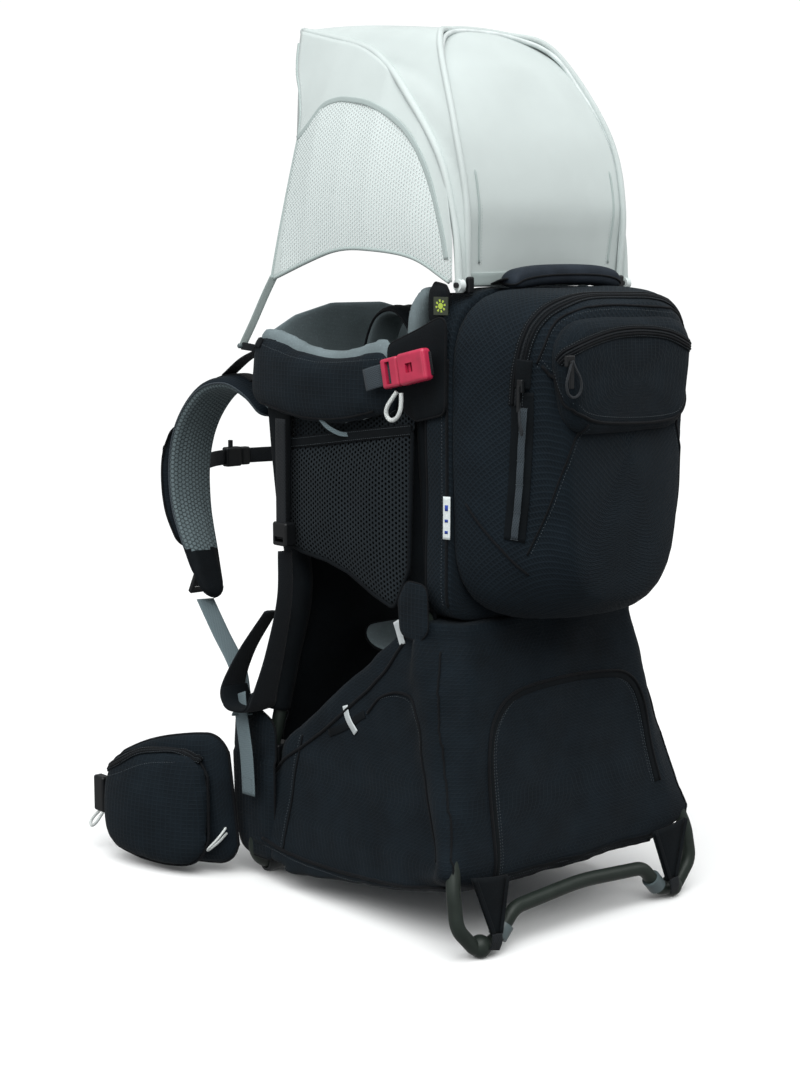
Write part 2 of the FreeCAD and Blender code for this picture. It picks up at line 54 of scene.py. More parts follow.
# Camera: place in metres, turn about Z and downward tilt in degrees, lens in millimetres.
CAMERA_AT = (-1.52278, -1.71606, 0.74461)
CAMERA_TURN, CAMERA_TILT = -41.07, 8.16
CAMERA_LENS, SENSOR_WIDTH = 65.02, 36
# Light: strength of the world on the object and as seen by the camera, and the soft sun above.
WORLD_LIGHT, BACKDROP_LIGHT = 0.4, 1.05
SUN_POWER, SUN_SOFTNESS = 3.1, 70
# Heights in the design frame where the parts named change form.
STRAP_TIP_Z = 380
SHADE_FOOT_Z, SHADE_TOP_Z = 713, 996
HIGHEST_CLOTH_Z = 1014


# ---------------------------------------------------------------- small geometry tools
def metres(points):
    return (np.array(points, float) + SHIFT) / 1000


def unit(v):
    v = np.array(v, float)
    return v / np.maximum(np.linalg.norm(v, axis=-1, keepdims=True), 1e-9)


def flip(points):
    """The same points on the other side of the carrier."""
    p = np.array(points, float)
    p[..., 0] *= -1
    return p


def same(points):
    """The points as they are, for the left-hand copy."""
    return np.array(points, float)


SIDES = (("left", same), ("right", flip))


def smooth(points, count, closed=False, even=True):
    """A Catmull-Rom line through rows of numbers; the first three are the place."""
    p = np.array(points, float)
    if closed:
        p = np.vstack([p[-1:], p, p[:2]])
    else:
        p = np.vstack([2 * p[0] - p[1], p, 2 * p[-1] - p[-2]])
    spans = len(p) - 3

    def at(s):
        i = np.minimum(s.astype(int), spans - 1)
        t = (s - i)[:, None]
        a, b, c, d = p[i], p[i + 1], p[i + 2], p[i + 3]
        return 0.5 * (
            2 * b + (c - a) * t + (2 * a - 5 * b + 4 * c - d) * t * t + (3 * b - a - 3 * c + d) * t**3
        )

    fine = np.linspace(0, spans, 24 * spans + 1)
    if even:
        q = at(fine)[:, :3]
        run = np.concatenate([[0], np.cumsum(np.linalg.norm(np.diff(q, axis=0), axis=1))])
        return at(np.interp(np.linspace(0, run[-1], count, endpoint=not closed), run, fine))
    return at(np.linspace(0, spans, count, endpoint=not closed))


def straight(points, step=6.0, closed=False):
    """Points every few millimetres along straight runs."""
    p = np.array(points, float)
    if closed:
        p = np.vstack([p, p[:1]])
    out = []
    for a, b in zip(p[:-1], p[1:]):
        n = max(1, int(np.linalg.norm((b - a)[:3]) / step))
        out += [a + (b - a) * k / n for k in range(n)]
    if not closed:
        out.append(p[-1])
    return np.array(out)


def add(name, verts, faces, mat, body, slot=None, uv=None, soft=True):
    """A mesh piece from design-frame points that rides on a body."""
    mesh = bpy.data.meshes.new(name)
    mesh.from_pydata([tuple(v) for v in metres(verts)], [], [tuple(int(i) for i in f) for f in faces])
    if uv is not None:
        layer = mesh.uv_layers.new(name="UVMap")
        index = np.zeros(len(mesh.loops), int)
        mesh.loops.foreach_get("vertex_index", index)
        flat = np.array(uv)[index]
        layer.data.foreach_set("uv", flat.astype(np.float32).ravel())
    obj = bpy.data.objects.new(name, mesh)
    scene.collection.objects.link(obj)
    bm = bmesh.new()
    bm.from_mesh(mesh)
    bmesh.ops.remove_doubles(bm, verts=bm.verts, dist=2e-6)
    bmesh.ops.recalc_face_normals(bm, faces=bm.faces)
    bm.to_mesh(mesh)
    bm.free()
    mesh.polygons.foreach_set("use_smooth", [soft] * len(mesh.polygons))
    if uv is None:
        box_uv(obj)
    mesh.materials.append(mat)
    if body:
        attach(obj, body)
    return obj


def box_uv(obj):
    """UVs in metres, each face laid flat along its main direction."""
    mesh = obj.data
    layer = mesh.uv_layers.get("UVMap") or mesh.uv_layers.new(name="UVMap")
    for poly in mesh.polygons:
        n = [abs(c) for c in poly.normal]
        a, b = ((1, 2), (0, 2), (0, 1))[n.index(max(n))]
        for li in poly.loop_indices:
            co = mesh.vertices[mesh.loops[li].vertex_index].co
            layer.data[li].uv = (co[a], co[b])


def grid(name, rows, mat, body, slot=None, wrap=False, caps=False, **more):
    """A quad mesh through rows of points, with UVs in metres along the cloth."""
    rows = np.array(rows, float)
    n, m = rows.shape[:2]
    if wrap:
        rows = np.concatenate([rows, rows[:, :1]], axis=1)
        m += 1
    across = np.linalg.norm(np.diff(rows, axis=1), axis=2)
    along = np.linalg.norm(np.diff(rows, axis=0), axis=2)
    u = np.concatenate([np.zeros((n, 1)), np.cumsum(across, axis=1)], axis=1)
    v = np.concatenate([np.zeros((1, m)), np.cumsum(along, axis=0)], axis=0)
    v = np.broadcast_to(v.mean(axis=1, keepdims=True), (n, m))
    u = u - u[:, m // 2 : m // 2 + 1]
    uv = np.stack([u, v], axis=2).reshape(-1, 2) / 1000
    faces = [
        (i * m + j, i * m + j + 1, (i + 1) * m + j + 1, (i + 1) * m + j)
        for i in range(n - 1)
        for j in range(m - 1)
    ]
    if caps:
        faces.append(tuple(range(m - 1)))
        faces.append(tuple((n - 1) * m + j for j in range(m - 1)))
    return add(name, rows.reshape(-1, 3), faces, mat, body, slot, uv=uv, **more)


def frames_along(path, across):
    """Tangent, width direction and thickness direction at every point of a path."""
    tangent = unit(np.gradient(path, axis=0))
    across = np.broadcast_to(np.array(across, float), path.shape)
    normal = unit(np.cross(tangent, across))
    return tangent, unit(np.cross(normal, tangent)), normal


def pad_grid(stations, across, count=64, around=40, corner=None, soft_edge=None, power=2.5):
    """Rings of a crowned pad with rounded corners through (x, y, z, width, thickness) stations."""
    s = smooth(stations, 160)
    path = s[:, :3]
    run = np.concatenate([[0], np.cumsum(np.linalg.norm(np.diff(path, axis=0), axis=1))])
    length = run[-1]
    k = np.linspace(0, 1, count)
    k = 0.5 * k + 0.5 * (1 - np.cos(math.pi * k)) / 2
    s = np.stack([np.interp(k * length, run, s[:, c]) for c in range(5)], axis=1)
    path, width, thick = s[:, :3], s[:, 3].copy(), s[:, 4].copy()
    _, side, normal = frames_along(path, across)
    corner = corner if corner is not None else width.min() * 0.3
    soft_edge = soft_edge or max(4.0, thick.max() * 0.6)
    end = np.minimum(k, 1 - k) * length
    c = np.clip(1 - end / corner, 0, 1)
    width -= 2 * corner * (1 - np.sqrt(1 - c * c))
    c = np.clip(1 - end / soft_edge, 0, 1)
    thick *= np.sqrt(1 - c * c) * 0.985 + 0.015
    a = np.linspace(0, 2 * math.pi, around, endpoint=False)
    cx = np.sign(np.cos(a)) * np.abs(np.cos(a)) ** (2 / 3.4)
    cy = np.sign(np.sin(a)) * np.abs(np.sin(a)) ** (2 / power)
    rows = (
        path[:, None]
        + side[:, None] * (width / 2)[:, None, None] * cx[None, :, None]
        + normal[:, None] * (thick / 2)[:, None, None] * cy[None, :, None]
    )
    flat = np.stack(
        [(width / 2)[:, None] * cx[None], np.broadcast_to((k * length)[:, None], rows.shape[:2])], axis=2
    )
    face = np.broadcast_to(np.sign(np.sin(a))[None], rows.shape[:2])
    return {"rows": rows, "flat": flat, "face": face, "normal": normal, "length": length, "thick": thick}


def groove(pad, lines, depth=2.0, spread=3.0, faces=(1, -1)):
    """Sewn channels: the pad dips along flat lines of (across, along) points."""
    flat, rows = pad["flat"], pad["rows"]
    for line in lines:
        line = np.array(line, float)
        best = np.full(flat.shape[:2], 1e9)
        for a, b in zip(line[:-1], line[1:]):
            d = b - a
            t = np.clip(((flat - a) @ d) / max(d @ d, 1e-9), 0, 1)
            best = np.minimum(best, np.linalg.norm(flat - a - t[..., None] * d, axis=2))
        dip = depth * np.exp(-((best / spread) ** 2))
        for f in faces:
            rows -= np.where(pad["face"] == f, dip * f, 0)[..., None] * pad["normal"][:, None]
    return pad


def rim(pad):
    """The pad's widest line, all the way round."""
    rows = pad["rows"]
    n = rows.shape[1]
    right, left = rows[:, 0], rows[:, n // 2]
    return np.vstack([right, left[::-1]])


def rod(name, points, radius, mat, body, slot=None, closed=False, sides=8, flat=1.0, hint=None):
    """A round (or flattened) tube along points: piping, cord and rolled edges."""
    p = np.array(points, float)
    if closed:
        tangent = unit(np.roll(p, -1, axis=0) - np.roll(p, 1, axis=0))
    else:
        tangent = unit(np.gradient(p, axis=0))
    hint = np.array(hint if hint is not None else [0.31, 0.47, 0.83])
    if hint.ndim == 1:
        hint = np.broadcast_to(hint, p.shape)
    side = unit(np.cross(tangent, hint))
    other = unit(np.cross(side, tangent))
    a = np.linspace(0, 2 * math.pi, sides, endpoint=False)
    radius = np.broadcast_to(np.array(radius, float), (len(p),))[:, None, None]
    rows = p[:, None] + radius * (
        side[:, None] * np.cos(a)[None, :, None] + other[:, None] * np.sin(a)[None, :, None] * flat
    )
    if closed:
        rows = np.concatenate([rows, rows[:1]])
    return grid(name, rows, mat, body, slot, wrap=True, caps=not closed)


class Skin:
    """The outside of finished pieces, so that trims can be laid on it."""

    def __init__(self, *objects):
        verts, polys = [], []
        graph = bpy.context.evaluated_depsgraph_get()
        for o in objects:
            e = o.evaluated_get(graph)
            mesh = e.to_mesh()
            base = len(verts)
            verts += [o.matrix_world @ v.co for v in mesh.vertices]
            polys += [[base + i for i in p.vertices] for p in mesh.polygons]
            e.to_mesh_clear()
        self.tree = BVHTree.FromPolygons(verts, polys)

    def lay(self, points, lift=0.0, passes=1):
        """Snap points to the skin; returns the lifted points and the outward directions."""
        out, normals = [], []
        for p in np.array(points, float)[:, :3]:
            hit, n, _, _ = self.tree.find_nearest(Vector(metres(p)))
            n = np.array(n)
            out.append(np.array(hit) * 1000 - SHIFT)
            normals.append(n)
        out, normals = np.array(out), np.array(normals)
        kernel = np.array([1, 2, 3, 2, 1]) / 9
        if len(out) > 6:
            for _ in range(passes):
                pad_n = np.vstack([normals[:1]] * 2 + [normals] + [normals[-1:]] * 2)
                normals = np.stack([np.convolve(pad_n[:, c], kernel, "valid") for c in range(3)], axis=1)
            normals = unit(normals)
        return out + normals * lift, normals


def ribbon(name, points, normals, width, thick, mat, body, slot=None, crown=0.0):
    """A flat strap of real thickness lying along points, its face along the normals."""
    p, n = np.array(points, float)[:, :3], unit(normals)
    tangent = unit(np.gradient(p, axis=0))
    side = unit(np.cross(tangent, n))
    width = np.broadcast_to(np.array(width, float), (len(p),))[:, None]
    h = thick / 2
    profile = [
        (-0.5, -h * 0.3), (-0.5, h * 0.6), (-0.44, h), (-0.2, h + crown * 0.8), (0.2, h + crown * 0.8)
    ]
    profile += [(0.44, h), (0.5, h * 0.6), (0.5, -h * 0.3), (0.44, -h), (-0.44, -h)]
    rows = np.stack([p + side * width * a + n * b for a, b in profile], axis=1)
    return grid(name, rows, mat, body, slot, wrap=True, caps=True)


def strap(name, points, across, width, thick, mat, body, slot=None, count=60):
    """A webbing strap through design points, its width along one direction."""
    p = smooth(points, count)[:, :3]
    _, _, normal = frames_along(p, across)
    return ribbon(name, p, normal, width, thick, mat, body, slot)


def stitches(name, runs, mat, body, pitch=3.4, long=2.3, r=0.32):
    """Thread: one short raised dash after another along each run of (points, normals)."""
    verts, faces = [], []
    for points, normals in runs:
        p = np.array(points, float)[:, :3]
        run = np.concatenate([[0], np.cumsum(np.linalg.norm(np.diff(p, axis=0), axis=1))])
        if run[-1] < pitch:
            continue
        at = np.arange(pitch / 2, run[-1], pitch)
        c = np.stack([np.interp(at, run, p[:, k]) for k in range(3)], axis=1)
        n = unit(np.stack([np.interp(at, run, normals[:, k]) for k in range(3)], axis=1))
        t = unit(np.stack([np.interp(at + 0.5, run, p[:, k]) for k in range(3)], axis=1) - c + 1e-9)
        s = unit(np.cross(t, n))
        for a, b, d, e in zip(c, t, n, s):
            base = len(verts)
            lift = a + d * r * 0.6
            verts += [
                a - b * long / 2 - d * r, lift + e * r, lift + d * r, lift - e * r, a + b * long / 2 - d * r
            ]
            faces += [(base, base + 1, base + 2), (base, base + 2, base + 3), (base, base + 3, base + 1)]
            faces += [
                (base + 4, base + 2, base + 1), (base + 4, base + 3, base + 2),
                (base + 4, base + 1, base + 3)
            ]
    return add(name, verts, faces, mat, body, None, soft=False)


def join(name, *objects):
    """Several meshes of one body as one piece."""
    bpy.context.view_layer.update()
    for o in bpy.context.selected_objects:
        o.select_set(False)
    for o in objects:
        o.select_set(True)
    bpy.context.view_layer.objects.active = objects[0]
    bpy.ops.object.join()
    objects[0].name = name
    for o in bpy.context.selected_objects:
        o.select_set(False)
    return objects[0]


def puff(obj, pressure=4.0, cap=9.0, voxel=5.0, steps=16, shrink=0.35):
    """Air cushion: remesh, blow up with cloth, cap the movement, keep the result on the same piece."""
    m = obj.modifiers.new("remesh", "REMESH")
    m.mode = "VOXEL"
    m.voxel_size = voxel / 1000
    bake(obj)
    mesh = obj.data
    rest = np.array([v.co for v in mesh.vertices], float)
    c = obj.modifiers.new("cloth", "CLOTH")
    c.settings.quality = 4
    c.settings.mass = 0.25
    c.settings.tension_stiffness = c.settings.compression_stiffness = 18
    c.settings.bending_stiffness = 1.5
    c.settings.use_pressure = True
    c.settings.uniform_pressure_force = pressure
    c.settings.shrink_min = -0.02
    c.settings.effector_weights.gravity = 0
    c.collision_settings.use_collision = False
    c.point_cache.frame_start, c.point_cache.frame_end = 1, steps
    for f in range(1, steps + 1):
        scene.frame_set(f)
    graph = bpy.context.evaluated_depsgraph_get()
    e = obj.evaluated_get(graph)
    moved = np.array([v.co for v in e.to_mesh().vertices], float)
    e.to_mesh_clear()
    obj.modifiers.remove(c)
    scene.frame_set(1)
    if len(moved) == len(rest):
        d = moved - rest
        size = np.linalg.norm(d, axis=1, keepdims=True)
        d *= np.minimum(1, cap / 1000 / np.maximum(size, 1e-9)) * shrink
        mesh.vertices.foreach_set("co", (rest + d).astype(np.float32).ravel())
    mesh.polygons.foreach_set("use_smooth", [True] * len(mesh.polygons))
    s = obj.modifiers.new("relax", "SMOOTH")
    s.iterations = 3
    s.factor = 0.5
    bake(obj)
    box_uv(obj)
    return obj


def bake(obj):
    """Apply every modifier."""
    graph = bpy.context.evaluated_depsgraph_get()
    mesh = bpy.data.meshes.new_from_object(obj.evaluated_get(graph))
    mats = list(obj.data.materials)
    obj.modifiers.clear()
    obj.data = mesh
    if not len(mesh.materials):
        for m in mats:
            mesh.materials.append(m)
    mesh.polygons.foreach_set("use_smooth", [True] * len(mesh.polygons))
    return obj


def cord_loop(name, points, radius, mat, body):
    """A free loop of cord that goes back into the object, as one smooth spline."""
    curve = bpy.data.curves.new(name, "CURVE")
    curve.dimensions = "3D"
    curve.bevel_depth = radius / 1000
    curve.bevel_resolution = 3
    curve.resolution_u = 10
    curve.use_fill_caps = True
    spline = curve.splines.new("NURBS")
    spline.points.add(len(points) - 1)
    for point, p in zip(spline.points, metres(points)):
        point.co = (*p, 1)
    spline.order_u = 3
    spline.use_endpoint_u = True
    curve.materials.append(mat)
    obj = bpy.data.objects.new(name, curve)
    scene.collection.objects.link(obj)
    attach(obj, body)
    return obj


# ---------------------------------------------------------------- materials
class Nodes:
    """Short calls for building one material's node tree."""

    def __init__(self, name):
        self.mat = bpy.data.materials.new(name)
        self.mat.use_nodes = True
        self.tree = self.mat.node_tree
        self.out = self.tree.nodes["Material Output"]
        self.shader = self.tree.nodes["Principled BSDF"]

    def add(self, kind, _set=None, **inputs):
        node = self.tree.nodes.new("ShaderNode" + kind)
        for key, value in (_set or {}).items():
            setattr(node, key, value)
        for key, value in inputs.items():
            key = key.replace("_", " ")
            socket = node.inputs[int(key[1:])] if key[0] == "i" and key[1:].isdigit() else node.inputs[key]
            self.put(socket, value)
        return node

    def put(self, socket, value):
        if isinstance(value, bpy.types.NodeSocket):
            self.tree.links.new(value, socket)
        elif isinstance(value, bpy.types.Node):
            self.tree.links.new(value.outputs[0], socket)
        else:
            socket.default_value = value

    def math(self, op, a, b=0.0, clamp=False):
        node = self.add("Math", {"operation": op, "use_clamp": clamp}, i0=a, i1=b)
        return node.outputs[0]

    def uv(self, scale=1.0, turn=0.0):
        place = self.add("TexCoord")
        m = self.add("Mapping", None, Vector=place.outputs["UV"])
        m.inputs["Scale"].default_value = (scale,) * 3
        m.inputs["Rotation"].default_value = (0, 0, math.radians(turn))
        return m.outputs[0]

    def solid(self, scale=1.0):
        place = self.add("TexCoord")
        m = self.add("Mapping", None, Vector=place.outputs["Object"])
        m.inputs["Scale"].default_value = (scale,) * 3
        return m.outputs[0]

    def noise(self, vector, scale, detail=3.0, rough=0.55):
        node = self.add("TexNoise", None, Vector=vector, Scale=scale, Detail=detail, Roughness=rough)
        return node.outputs["Fac"]

    def ramp(self, value, low, high, a=0.0, b=1.0):
        node = self.add("MapRange", {"clamp": True}, Value=value)
        node.inputs["From Min"].default_value = low
        node.inputs["From Max"].default_value = high
        node.inputs["To Min"].default_value = a
        node.inputs["To Max"].default_value = b
        return node.outputs[0]

    def mix(self, factor, a, b):
        node = self.add("Mix", {"data_type": "RGBA"})
        self.put(node.inputs[0], factor)
        self.put(node.inputs[6], a)
        self.put(node.inputs[7], b)
        return node.outputs[2]

    def waves(self, vector, pitch, axis):
        """Ridges `pitch` metres apart along one axis, 0 to 1."""
        parts = self.add("SeparateXYZ", None, Vector=vector)
        k = self.math("MULTIPLY", parts.outputs[axis], 2 * math.pi / pitch)
        return self.ramp(self.math("SINE", k), -1, 1)

    def hexes(self, vector, pitch):
        """Honeycomb of cells `pitch` metres apart: 1 at a cell's middle, 0 on the lines between."""
        parts = self.add("SeparateXYZ", None, Vector=vector)
        k = 2 * math.pi / (pitch * 0.866)
        total = 0.0
        for turn in (0, 60, 120):
            c, s = math.cos(math.radians(turn)), math.sin(math.radians(turn))
            along = self.math(
                "ADD", self.math("MULTIPLY", parts.outputs[0], c * k),
                self.math("MULTIPLY", parts.outputs[1], s * k)
            )
            total = self.math("ADD", self.math("COSINE", along), total)
        return self.ramp(total, -1.5, 3.0)

    def surface(self, colour, rough, bump=None, strength=0.3, height=0.0006, **sockets):
        s = self.shader
        self.put(s.inputs["Base Color"], colour)
        self.put(s.inputs["Roughness"], rough)
        if bump is not None:
            b = self.add("Bump", None, Height=bump, Strength=strength, Distance=height)
            self.tree.links.new(b.outputs[0], s.inputs["Normal"])
        for key, value in sockets.items():
            s.inputs[key.replace("_", " ")].default_value = value
        return self.mat


def tone(c, k):
    return (c[0] * k, c[1] * k, c[2] * k, 1)


def cloth_material(
    name, colour, weave=0.0011, relief=None, pitch=0.005, rough=0.78, sheen=0.25, spread=0.35, strength=0.5
):
    """Woven nylon: fine threads, a dobby or ripstop relief, uneven dye and slight wear."""
    n = Nodes(name)
    uv = n.uv()
    a, b = n.waves(uv, weave, 0), n.waves(uv, weave, 1)
    threads = n.math("MAXIMUM", a, b)
    height = n.math("MULTIPLY", threads, 0.35)
    shade = n.noise(n.solid(), 28, 4)
    fine = n.noise(n.solid(), 420, 2)
    blend = n.ramp(shade, 0.3, 0.75)
    base = n.mix(blend, tone(colour, 1 - spread), tone(colour, 1 + spread))
    if relief == "diamond":
        turned = n.uv(turn=45)
        da, db = n.waves(turned, pitch, 0), n.waves(turned, pitch, 1)
        cell = n.math("POWER", n.math("MAXIMUM", da, db), 3.0)
        height = n.math("ADD", height, n.math("MULTIPLY", cell, 1.6))
        base = n.mix(n.math("MULTIPLY", cell, 0.35), base, tone(colour, 2.3))
    elif relief == "ripstop":
        ra, rb = n.waves(uv, pitch, 0), n.waves(uv, pitch * 0.8, 1)
        cell = n.math("POWER", n.math("MAXIMUM", ra, rb), 14.0)
        height = n.math("ADD", height, n.math("MULTIPLY", cell, 1.3))
        base = n.mix(n.math("MULTIPLY", cell, 0.35), base, tone(colour, 2.1))
    elif relief == "lines":
        la = n.math("POWER", n.waves(uv, pitch, 1), 4.0)
        lb = n.math("POWER", n.waves(uv, pitch * 3, 0), 10.0)
        cell = n.math("MAXIMUM", la, lb)
        height = n.math("ADD", height, n.math("MULTIPLY", cell, 1.2))
        base = n.mix(n.math("MULTIPLY", cell, 0.3), base, tone(colour, 2.0))
    base = n.mix(n.ramp(fine, 0.55, 0.8, 0, 0.35), base, tone(colour, 1.9))
    crease = n.noise(n.solid(), 16, 3)
    height = n.math("ADD", height, n.math("MULTIPLY", crease, 2.2))
    roughness = n.ramp(fine, 0.3, 0.7, rough - 0.08, rough + 0.08)
    return n.surface(
        base, roughness, height, strength, 0.0007, Sheen_Weight=sheen * 0.1, Sheen_Roughness=0.45,
        Specular_IOR_Level=0.11
    )


def mesh_material(
    name, colour, pitch=0.0042, hole=0.5, depth=0.0011, see_through=False, rough=0.85, dark=0.25, sheen=0.2,
    cells=False
):
    """Knitted mesh: a honeycomb of threads round holes, or of cushioned cells between grooves."""
    n = Nodes(name)
    uv = n.uv()
    cell = n.hexes(uv, pitch)
    thread = n.ramp(cell, hole - 0.1, hole + 0.1, 0, 1) if cells else n.ramp(
        cell, hole - 0.08, hole + 0.08, 1, 0
    )
    fine = n.noise(uv, 2600, 2)
    base = n.mix(thread, tone(colour, dark), tone(colour, 1.1))
    base = n.mix(n.ramp(fine, 0.4, 0.75, 0, 0.4), base, tone(colour, 1.35))
    base = n.mix(n.ramp(n.noise(n.solid(), 22), 0.35, 0.7, 0, 0.35), base, tone(colour, 0.75))
    m = n.surface(
        base, n.ramp(fine, 0.2, 0.8, rough - 0.08, rough + 0.08), thread, 0.8, depth,
        Sheen_Weight=sheen * 0.12, Specular_IOR_Level=0.12
    )
    if see_through:
        n.put(n.shader.inputs["Alpha"], n.ramp(cell, hole, hole + 0.06, 1, 0))
    return m


def webbing_material(name, colour, pitch=0.0022, rough=0.72):
    """Woven tape: chevron ribs across the strap."""
    n = Nodes(name)
    uv = n.uv()
    a = n.waves(n.uv(turn=30), pitch, 0)
    b = n.waves(n.uv(turn=-30), pitch, 0)
    rib = n.math("MAXIMUM", a, b)
    fine = n.noise(uv, 1800, 2)
    base = n.mix(rib, tone(colour, 0.6), tone(colour, 1.25))
    base = n.mix(n.ramp(fine, 0.4, 0.7, 0, 0.4), base, tone(colour, 1.5))
    return n.surface(
        base, n.ramp(fine, 0.3, 0.7, rough - 0.1, rough + 0.1), rib, 0.7, 0.0005, Sheen_Weight=0.05,
        Specular_IOR_Level=0.15
    )


def moulded(name, colour, rough=0.42, grain=900, convex_edge_tone=1.6, strength=0.12, **sockets):
    """Injection-moulded plastic or rubber: fine grain, slight flow marks, colour lighter along convex
    edges.
    """
    n = Nodes(name)
    at = n.solid()
    fine, broad = n.noise(at, grain, 3), n.noise(at, 60, 3)
    base = n.mix(n.ramp(broad, 0.3, 0.75), tone(colour, 0.85), tone(colour, 1.15))
    # convex edges, found by pointiness, take a lighter colour
    edge = n.add("NewGeometry").outputs["Pointiness"]
    base = n.mix(n.ramp(edge, 0.515, 0.56, 0, 0.5), base, tone(colour, convex_edge_tone))
    height = n.math("ADD", fine, n.math("MULTIPLY", broad, 0.5))
    return n.surface(
        base, n.ramp(fine, 0.3, 0.7, rough - 0.07, rough + 0.09), height, strength, 0.0002, **sockets
    )


NAVY = (0.0042, 0.0078, 0.0112)
M_BODY = cloth_material("fabric_main", NAVY, relief="ripstop", pitch=0.0062, spread=0.3)
M_DOBBY = cloth_material("fabric_dobby", NAVY, relief="diamond", pitch=0.0048, spread=0.25)
M_LINES = cloth_material(
    "fabric_lines", (0.0045, 0.0085, 0.0125), relief="lines", pitch=0.0034, spread=0.25
)
M_DARK = cloth_material("fabric_dark", (0.0028, 0.0045, 0.006), weave=0.0014, spread=0.3, sheen=0.15)
M_KNIT = cloth_material(
    "knit_padding", (0.15, 0.19, 0.202), weave=0.0016, rough=0.9, sheen=0.5, spread=0.14, strength=0.6
)
M_PIPING = cloth_material(
    "fabric_piping", (0.0032, 0.0042, 0.0055), weave=0.0009, spread=0.3, sheen=0.3, rough=0.7
)
M_SPACER = mesh_material(
    "spacer_mesh", (0.105, 0.138, 0.148), pitch=0.0058, hole=0.2, dark=0.35, cells=True
)
M_POCKET = mesh_material(
    "pocket_mesh", (0.012, 0.0165, 0.02), pitch=0.0056, hole=0.42, dark=0.4, depth=0.0009, see_through=True
)
M_WEB = webbing_material("webbing_dark", (0.006, 0.008, 0.01))
M_WEB_GREY = webbing_material("webbing_grey", (0.1, 0.135, 0.148))
M_WEB_MID = webbing_material("webbing_mid", (0.032, 0.042, 0.05))
M_THREAD = moulded("thread_grey", (0.05, 0.062, 0.07), rough=0.7, grain=2000)
M_BLACK = moulded("plastic_black", (0.004, 0.005, 0.006), rough=0.42, Specular_IOR_Level=0.3)
M_GREY = moulded("plastic_grey", (0.058, 0.078, 0.083), rough=0.42)
M_RED = moulded("plastic_red", (0.43, 0.02, 0.062), rough=0.36, convex_edge_tone=1.25)
M_TUBE = moulded(
    "tube_coat", (0.017, 0.024, 0.02), rough=0.46, grain=1400, convex_edge_tone=1.6, Metallic=0.2,
    Specular_IOR_Level=0.3
)
M_RUBBER = moulded("foot_rubber", (0.014, 0.017, 0.018), rough=0.75, grain=500, strength=0.3)
M_STEEL = moulded("pin_steel", (0.42, 0.43, 0.44), rough=0.28, grain=300, convex_edge_tone=1.2, Metallic=1.0)
M_HOOP = moulded("hoop_wire", (0.62, 0.68, 0.675), rough=0.45, grain=900, convex_edge_tone=1.05)
M_CORD = webbing_material("cord_pale", (0.62, 0.66, 0.65), pitch=0.0011)
M_CORD_DARK = webbing_material("cord_dark", (0.02, 0.024, 0.028), pitch=0.0011)
M_LABEL = cloth_material(
    "label_white", (0.62, 0.68, 0.69), weave=0.0007, spread=0.06, rough=0.7, strength=0.3
)
M_REFLECT = moulded("print_reflective", (0.42, 0.46, 0.47), rough=0.3, grain=3000)


def shade_cloth_material(name, colour, see=0.0):
    """Thin pale nylon: fine weave, faint ripple; see sets how much light shows through."""
    n = Nodes(name)
    uv = n.uv()
    threads = n.math("MAXIMUM", n.waves(uv, 0.0009, 0), n.waves(uv, 0.0009, 1))
    ripple = n.noise(n.solid(), 11, 3)
    base = n.mix(n.ramp(ripple, 0.3, 0.75), tone(colour, 0.93), tone(colour, 1.03))
    base = n.mix(n.math("MULTIPLY", threads, 0.12), base, tone(colour, 1.12))
    height = n.math("ADD", n.math("MULTIPLY", threads, 0.2), n.math("MULTIPLY", ripple, 2.0))
    return n.surface(
        base, n.ramp(ripple, 0.3, 0.7, 0.6, 0.72), height, 0.35, 0.0012, Sheen_Weight=0.1,
        Transmission_Weight=see
    )


def shade_net_material(name, colour):
    """Fine see-through sunshade netting."""
    n = Nodes(name)
    uv = n.uv()
    thread = n.ramp(n.hexes(uv, 0.0044), 0.3, 0.42, 1, 0)
    base = n.mix(n.noise(uv, 900), tone(colour, 0.9), tone(colour, 1.05))
    m = n.surface(base, n.ramp(n.noise(uv, 500), 0.3, 0.7, 0.7, 0.8), thread, 0.5, 0.0005, Sheen_Weight=0.1)
    n.put(n.shader.inputs["Alpha"], n.ramp(thread, 0, 1, 0.4, 1.0))
    return m


PALE = (0.52, 0.585, 0.575)
M_SHADE = shade_cloth_material("shade_cloth", PALE)
M_SHADE_EDGE = shade_cloth_material("shade_binding", (0.36, 0.43, 0.42))
M_NET = shade_net_material("shade_net", (0.62, 0.7, 0.69))


def sun_label_material():
    """A small dark label with a plain pale-green sun disc and rays, no lettering."""
    n = Nodes("label_sun")
    place = n.add("TexCoord").outputs["UV"]
    g = n.add("SeparateXYZ", None, Vector=place)
    dx = n.math("SUBTRACT", g.outputs[0], 0.5)
    dy = n.math("SUBTRACT", g.outputs[1], 0.5)
    r = n.math("SQRT", n.math("ADD", n.math("MULTIPLY", dx, dx), n.math("MULTIPLY", dy, dy)))
    angle = n.math("ARCTAN2", dy, dx)
    rays = n.math("GREATER_THAN", n.math("SINE", n.math("MULTIPLY", angle, 8.0)), 0.1)
    halo = n.math("MULTIPLY", n.math("LESS_THAN", r, 0.36), n.math("GREATER_THAN", r, 0.22))
    disc = n.math("MAXIMUM", n.math("LESS_THAN", r, 0.17), n.math("MULTIPLY", rays, halo))
    base = n.mix(disc, (0.02, 0.028, 0.015, 1), (0.42, 0.56, 0.06, 1))
    base = n.mix(n.ramp(n.noise(place, 90), 0.4, 0.7, 0, 0.2), base, (0.1, 0.12, 0.06, 1))
    return n.surface(base, n.ramp(n.noise(place, 60), 0.3, 0.7, 0.5, 0.6), n.noise(place, 120), 0.2, 0.0002)


M_SUN = sun_label_material()
M_TAG_BLUE = cloth_material("tag_print", (0.03, 0.06, 0.32), weave=0.0008, sheen=0.1)
M_HANDLE = cloth_material("handle_cloth", (0.0165, 0.0225, 0.031), weave=0.0016, rough=0.7, sheen=0.05)


